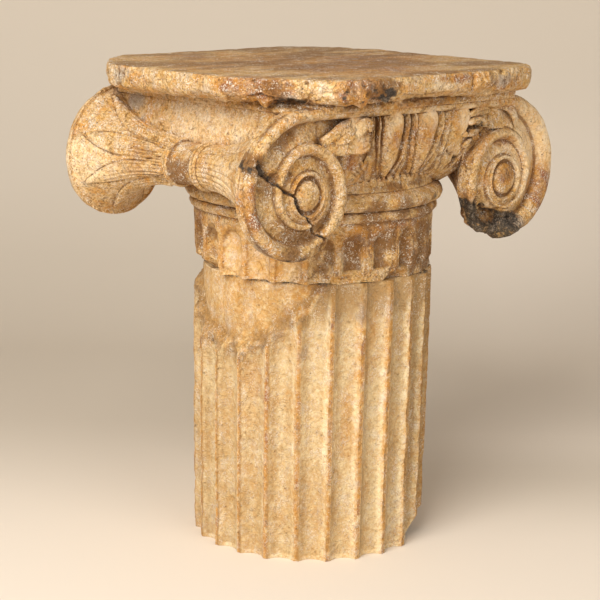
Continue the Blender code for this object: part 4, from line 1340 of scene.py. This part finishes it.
class Wire:
    """An output in a material's node tree. Arithmetic on it adds a Math node and gives that node's output."""

    def __init__(self, tree, socket):
        self.tree, self.socket = tree, socket

    def node(self, kind, inputs=None, output=0, **settings):
        """Any other node: its settings, and its inputs by name or number: a number, a colour or a Wire."""
        made = self.tree.nodes.new(kind)
        for name, value in settings.items():
            setattr(made, name, value)
        for name, value in (inputs or {}).items():
            if isinstance(value, Wire):
                self.tree.links.new(value.socket, made.inputs[name])
            else:
                made.inputs[name].default_value = value
        return Wire(self.tree, made.outputs[output])

    def math(self, operation, a, b=0.0, **settings):
        return self.node("ShaderNodeMath", {0: a, 1: b}, operation=operation, **settings)

    def __add__(self, other):
        return self.math("ADD", self, other)

    def __sub__(self, other):
        return self.math("SUBTRACT", self, other)

    def __rsub__(self, other):
        return self.math("SUBTRACT", other, self)

    def __mul__(self, other):
        return self.math("MULTIPLY", self, other)

    __radd__, __rmul__ = __add__, __mul__

    def ease(self, low, high):
        """The smooth step from low to high."""
        inputs = {"Value": self, "From Min": low, "From Max": high}
        return self.node("ShaderNodeMapRange", inputs, interpolation_type="SMOOTHSTEP")

    def over(self, below, colour):
        """The colour laid over the one below, as strongly as this Wire says."""
        mix = self.tree.nodes.new("ShaderNodeMix")
        mix.data_type = "RGBA"
        for number, value in ((0, self), (6, below), (7, colour)):
            if isinstance(value, Wire):
                self.tree.links.new(value.socket, mix.inputs[number])
            else:
                mix.inputs[number].default_value = (*value, 1)
        return Wire(self.tree, mix.outputs[2])


# %% The marble material
WARM_CREAM, CREAM, HONEY = (0.90, 0.665, 0.370), (0.86, 0.705, 0.425), (0.68, 0.425, 0.160)
OCHRE, AMBER, RUST = (0.55, 0.265, 0.062), (0.60, 0.265, 0.050), (0.29, 0.105, 0.034)
BROWN, DUST_AND_SHADE, SOOT = (0.20, 0.090, 0.029), (0.35, 0.195, 0.068), (0.028, 0.021, 0.015)
GREY, CRYSTAL = (0.42, 0.330, 0.245), (0.93, 0.82, 0.67)
STAINS = ("hollow", "soot", "rust", "pale", "grey", "calm")


def marble(name, skin, stretch, dark, grime_and_shade, peeled, grain):
    """Weathered marble. skin is its palest colour, and stretch how far its grain runs upwards.

    dark is how strong its brown threads are, dirt the colour of its grime and of the painted shade in its
    hollows, peeled how strongly ochre shows through its cream skin, and grain how strongly the finest marks
    and bumps show.
    """
    material = bpy.data.materials.new(name)
    material.use_nodes = True
    tree = material.node_tree
    shader = tree.nodes["Principled BSDF"]
    start = Wire(tree, None)
    place = start.node("ShaderNodeTexCoord", output="Object")
    pulled = start.node("ShaderNodeMapping", {"Vector": place, "Scale": (1, 1, 1 / stretch)})
    stain = {key: start.node("ShaderNodeAttribute", output="Fac", attribute_name=key) for key in STAINS}

    def cloudy(size, detail, roughness, vector=place, twist=0.0):
        inputs = {"Vector": vector, "Scale": 1 / size, "Detail": detail, "Roughness": roughness}
        inputs["Distortion"] = twist
        return start.node("ShaderNodeTexNoise", inputs, output="Fac")

    def threads(size, width, vector=place):
        """Fine wavy lines, where a twisted noise passes through its middle value."""
        return 1 - start.math("ABSOLUTE", cloudy(size, 2, 0.5, vector, 0.6) - 0.5).ease(0.0, width)

    lively = 1 - 0.75 * stain["calm"]
    tint = cloudy(0.013, 6, 0.68)
    amber = cloudy(0.026, 6, 0.66, place, 0.4)
    broad = cloudy(0.070, 5, 0.55)
    medium = cloudy(0.018, 5, 0.62, pulled)
    small = cloudy(0.0052, 4, 0.65, pulled)
    tiny = cloudy(0.0017, 3, 0.6)
    peel = cloudy(0.0050, 2, 0.5, place, 0.5)
    worms = cloudy(0.0040, 1.5, 0.45, place, 1.1)
    pale_threads = threads(0.0085, 0.022, pulled) * medium.ease(0.46, 0.58)
    dark_threads = threads(0.0105, 0.020) * (1 - medium).ease(0.46, 0.60)
    dots = start.node("ShaderNodeTexVoronoi", {"Vector": place, "Scale": 1 / 0.0068}, output="Distance")
    pit = (1 - dots.ease(0.08, 0.24)) * small.ease(0.50, 0.62)
    # Painted shade: an ambient occlusion node darkens recesses, first in ochre and, deeper in, in the dirt
    # colour.
    open_sky = start.node("ShaderNodeAmbientOcclusion", {"Distance": 0.032}, output="AO", samples=8)
    occluded_shade = (1 - open_sky + 0.55 * (medium - 0.5) + 0.35 * (small - 0.5)).ease(0.16, 0.65)
    deep = (1 - open_sky + 0.4 * (small - 0.5)).ease(0.40, 0.85)
    colour = (stain["pale"] + 1.1 * (medium - 0.5) + 0.5 * (small - 0.5)).ease(0.12, 0.88).over(HONEY, skin)
    stained = (broad + 0.7 * (small - 0.5)).ease(0.48, 0.78)
    colour = (stained * 0.50 * (1 - 0.6 * stain["pale"])).over(colour, OCHRE)
    colour = (stain["rust"] * (0.55 + 0.9 * small)).ease(0.10, 0.90).over(colour, OCHRE)
    colour = (occluded_shade * 0.70 * (1 - 0.75 * stain["pale"])).over(colour, OCHRE)
    colour = ((1 - peel + 0.5 * (medium - 0.5)).ease(0.47, 0.60) * lively * peeled).over(colour, OCHRE)
    colour = (peel.ease(0.50, 0.64) * 0.50 * (1 - 0.5 * stain["rust"])).over(colour, skin)
    raised = worms.ease(0.54, 0.64) * lively * (0.45 * grain)
    colour = (raised * (1 - 0.5 * stain["hollow"])).over(colour, skin)
    sunken = (1 - worms).ease(0.55, 0.65) * lively * (0.40 * grain)
    colour = (sunken * (1 - 0.4 * stain["pale"])).over(colour, grime_and_shade)
    freckled = (amber + 0.4 * (small - 0.5)).ease(0.50, 0.62) * (0.55 * grain)
    colour = (freckled * (1 - 0.55 * stain["pale"])).over(colour, AMBER)
    colour = (stain["rust"] + 2.0 * (medium - 0.5)).ease(0.80, 1.30).over(colour, RUST)
    colour = ((stain["grey"] + 1.2 * (small - 0.5) * stain["grey"]).ease(0.15, 1.0) * 0.85).over(colour, GREY)
    colour = (dark * lively * dark_threads).over(colour, grime_and_shade)
    # Painted shade in the deepest recesses.
    colour = (deep * 0.75 * (1 - 0.80 * stain["pale"])).over(colour, grime_and_shade)
    # This stain holds dirt and painted shade together.
    dirt_and_shade_mask = stain["hollow"] + 1.0 * (small - 0.5) * stain["hollow"]
    colour = (dirt_and_shade_mask.ease(0.15, 0.95) * 0.82).over(colour, grime_and_shade)
    colour = (pit * (0.25 + dark)).over(colour, BROWN)
    vivid = 0.96 + 1.3 * (tint - 0.5) + 0.6 * (0.5 - tiny) + 0.12 * stain["hollow"]
    vivid = start.math("MINIMUM", vivid, 1.04)
    colour = start.node("ShaderNodeHueSaturation", {"Saturation": vivid, "Color": colour}, output="Color")
    colour = (pale_threads * lively * (0.58 * grain) * (1 - 0.6 * stain["soot"])).over(colour, CRYSTAL)
    bright = (tiny + 0.6 * (small - 0.5) + 0.7 * (medium - 0.5)).ease(0.60, 0.70)
    colour = (bright * lively * (0.75 * grain) * (1 - 0.8 * stain["soot"])).over(colour, CRYSTAL)
    dull = (1 - tiny + 0.5 * (0.5 - small)).ease(0.58, 0.72)
    colour = (dull * lively * grain * (0.55 - 0.30 * stain["pale"])).over(colour, grime_and_shade)
    crust = stain["soot"] * (1 + 1.4 * (small - 0.5) + 1.3 * (medium - 0.5) + 1.4 * (worms - 0.5))
    colour = (crust.ease(0.25, 0.80) * 0.94).over(colour, SOOT)
    ashen = stain["soot"].ease(0.3, 0.8) * (medium + 0.8 * (tiny - 0.5)).ease(0.54, 0.66)
    colour = (ashen * 0.45).over(colour, GREY)
    height = (
        0.9 * medium + 0.8 * small + 0.9 * peel + 0.8 * worms + 0.35 * tiny - 0.6 * pit + 0.25 * pale_threads
        - 0.30 * dark_threads
    )
    inputs = {"Height": height * lively, "Strength": 1.0, "Distance": 0.0014 + 0.0016 * grain}
    bumps = start.node("ShaderNodeBump", inputs, output="Normal")
    tree.links.new(colour.socket, shader.inputs["Base Color"])
    tree.links.new((0.60 + 0.25 * small).socket, shader.inputs["Roughness"])
    tree.links.new(bumps.socket, shader.inputs["Normal"])
    return material


# The capital is the rougher stone. Edges sharper than the given angle, in degrees, stay crisp.
rough_marble = marble(
    "capital_marble", WARM_CREAM, stretch=1.0, dark=0.62, grime_and_shade=BROWN, peeled=0.42, grain=1.0
)
calm_marble = marble("shaft_marble", CREAM, stretch=1.4, dark=0.06, grime_and_shade=DUST_AND_SHADE, peeled=0.48, grain=0.65)
for obj, material, sharp in ((capital, rough_marble, 46), (drum, calm_marble, 40)):
    obj.data.materials.clear()
    obj.data.materials.append(material)
    obj.data.shade_smooth()
    obj.data.set_sharp_from_angle(angle=math.radians(sharp))

# %% [markdown]
# ## Taking the solids' place
#
# Each finished block rides on the frame and stands for its solid, which is then hidden.

# %% Replace the solids
for obj, node, slot in ((capital, "capital", "capital_marble"), (drum, "column_shaft", "shaft_marble")):
    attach(obj, "root")
    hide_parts(node)

# %% [markdown]
# ## Floor, backdrop and light
#
# One sheet curves up from the floor behind the blocks, so that there is no horizon. A large soft lamp stands
# high to the left of the camera. A weaker one, lower and to its right, fills the shadows on the front.

# %% The sheet


def simple_material(name, colour, roughness):
    material = bpy.data.materials.new(name)
    material.use_nodes = True
    shader = material.node_tree.nodes["Principled BSDF"]
    shader.inputs["Base Color"].default_value = (*colour, 1)
    shader.inputs["Roughness"].default_value = roughness
    return material


# The camera looks at a point a little left of the axis. Lengths are in metres, the lens in millimetres.
CAMERA_TURN, CAMERA_TILT, CAMERA_ROLL = math.radians(-44.0542), math.radians(12.4891), math.radians(0.96682)
CAMERA_AWAY, CAMERA_LENS, SENSOR = 2.1916, 103.27, 36
AIM_HEIGHT, AIM_LEFT, LAMP_AIM_HEIGHT = 0.29638, 0.014553, 0.35
bend = np.linspace(0, math.pi / 2, 40)
depth = np.concatenate([
    np.linspace(-3.0, -0.4, 5), np.linspace(-0.3, 0.85, 24), 0.90 + 0.75 * np.sin(bend), [1.65],
])
rise = np.concatenate([np.zeros(29), 0.75 * (1 - np.cos(bend)), [4.0]])
across, row = np.meshgrid(np.linspace(-3.5, 3.5, 57), np.arange(len(depth)))
sheet = stack(0, 0, rise[row] - 0.0002)
sheet[..., 0] = across * math.cos(CAMERA_TURN) - depth[row] * math.sin(CAMERA_TURN)
sheet[..., 1] = across * math.sin(CAMERA_TURN) + depth[row] * math.cos(CAMERA_TURN)
index = np.arange(sheet[..., 0].size).reshape(sheet.shape[:2])
backdrop = mesh_object("backdrop", sheet.reshape(-1, 3), grid_faces(index))
along = (depth + rise)[row].ravel()
# The paper is painted light and shade: darkest at middle height and on the left, which evens out the light
# from that side. On the right it is painted lighter, and only the floor close to the blocks is painted
# darker, a painted shadow.
sideways = ease(across.ravel(), -0.10, 0.38) - 0.35 * ease(across.ravel(), 0.40, 0.70)
tone = 0.10 + ease(along, -0.12, 0.60) - 0.30 * ease(along, 1.1, 1.8)
tone -= sideways * (
    0.95 * ease(along, 0.20, 0.42) * (1 - ease(along, 1.3, 2.1)) - 0.40 * bump(along, 0.15, 0.14)
)
give(backdrop, tone=tone)
FLOOR_PAPER, SHADED_PAPER = (0.85, 0.765, 0.665), (0.66, 0.585, 0.49)
backdrop.data.materials.append(simple_material("backdrop_paper", FLOOR_PAPER, 0.9))
tree = backdrop.data.materials[0].node_tree
tone = Wire(tree, None).node("ShaderNodeAttribute", output="Fac", attribute_name="tone")
tree.links.new(tone.over(FLOOR_PAPER, SHADED_PAPER).socket, tree.nodes["Principled BSDF"].inputs["Base Color"])
backdrop.data.shade_smooth()

# %% Camera and light
scene = bpy.context.scene


def facing(obj, place, target):
    """Puts obj at the place, looking at the target."""
    obj.location = place
    obj.rotation_euler = (Vector(target) - Vector(place)).to_track_quat("-Z", "Y").to_euler()
    scene.collection.objects.link(obj)


def soft_lamp(name, turn, tilt, away, size, power, colour):
    """A square lamp that far from the middle of the blocks; turn is measured as the camera's is."""
    lamp = bpy.data.lights.new(name, "AREA")
    lamp.shape, lamp.size, lamp.energy, lamp.color = "SQUARE", size, power, colour
    turn, tilt = math.radians(turn), math.radians(tilt)
    place = (
        away * math.sin(turn) * math.cos(tilt), -away * math.cos(turn) * math.cos(tilt),
        LAMP_AIM_HEIGHT + away * math.sin(tilt)
    )
    facing(bpy.data.objects.new(name, lamp), place, (0, 0, LAMP_AIM_HEIGHT))


soft_lamp("key", turn=-70, tilt=34, away=2.7, size=1.7, power=87, colour=(1.0, 0.96, 0.90))
soft_lamp("fill", turn=-6, tilt=19, away=3.2, size=2.0, power=31, colour=(1.0, 0.95, 0.88))
SKY_COLOUR, SKY_STRENGTH = (1.0, 0.94, 0.87, 1), 0.26
world = bpy.data.worlds.new("studio")
world.use_nodes = True
sky = world.node_tree.nodes["Background"]
sky.inputs["Color"].default_value = SKY_COLOUR
sky.inputs["Strength"].default_value = SKY_STRENGTH
scene.world = world
scene.view_settings.view_transform = "Standard"

away = np.array([
    math.sin(CAMERA_TURN) * math.cos(CAMERA_TILT), -math.cos(CAMERA_TURN) * math.cos(CAMERA_TILT),
    math.sin(CAMERA_TILT),
])
right = np.array([math.cos(CAMERA_TURN), math.sin(CAMERA_TURN), 0])
up = np.cross(away, right)
place = np.array([0, 0, AIM_HEIGHT]) - AIM_LEFT * right + CAMERA_AWAY * away
camera_data = bpy.data.cameras.new("camera")
camera_data.lens, camera_data.sensor_width = CAMERA_LENS, SENSOR
camera = bpy.data.objects.new("camera", camera_data)
turned = np.eye(4)
turned[:3, 0] = right * math.cos(CAMERA_ROLL) + up * math.sin(CAMERA_ROLL)
turned[:3, 1] = up * math.cos(CAMERA_ROLL) - right * math.sin(CAMERA_ROLL)
turned[:3, 2], turned[:3, 3] = away, place
camera.matrix_world = Matrix(turned.tolist())
scene.collection.objects.link(camera)
scene.camera = camera
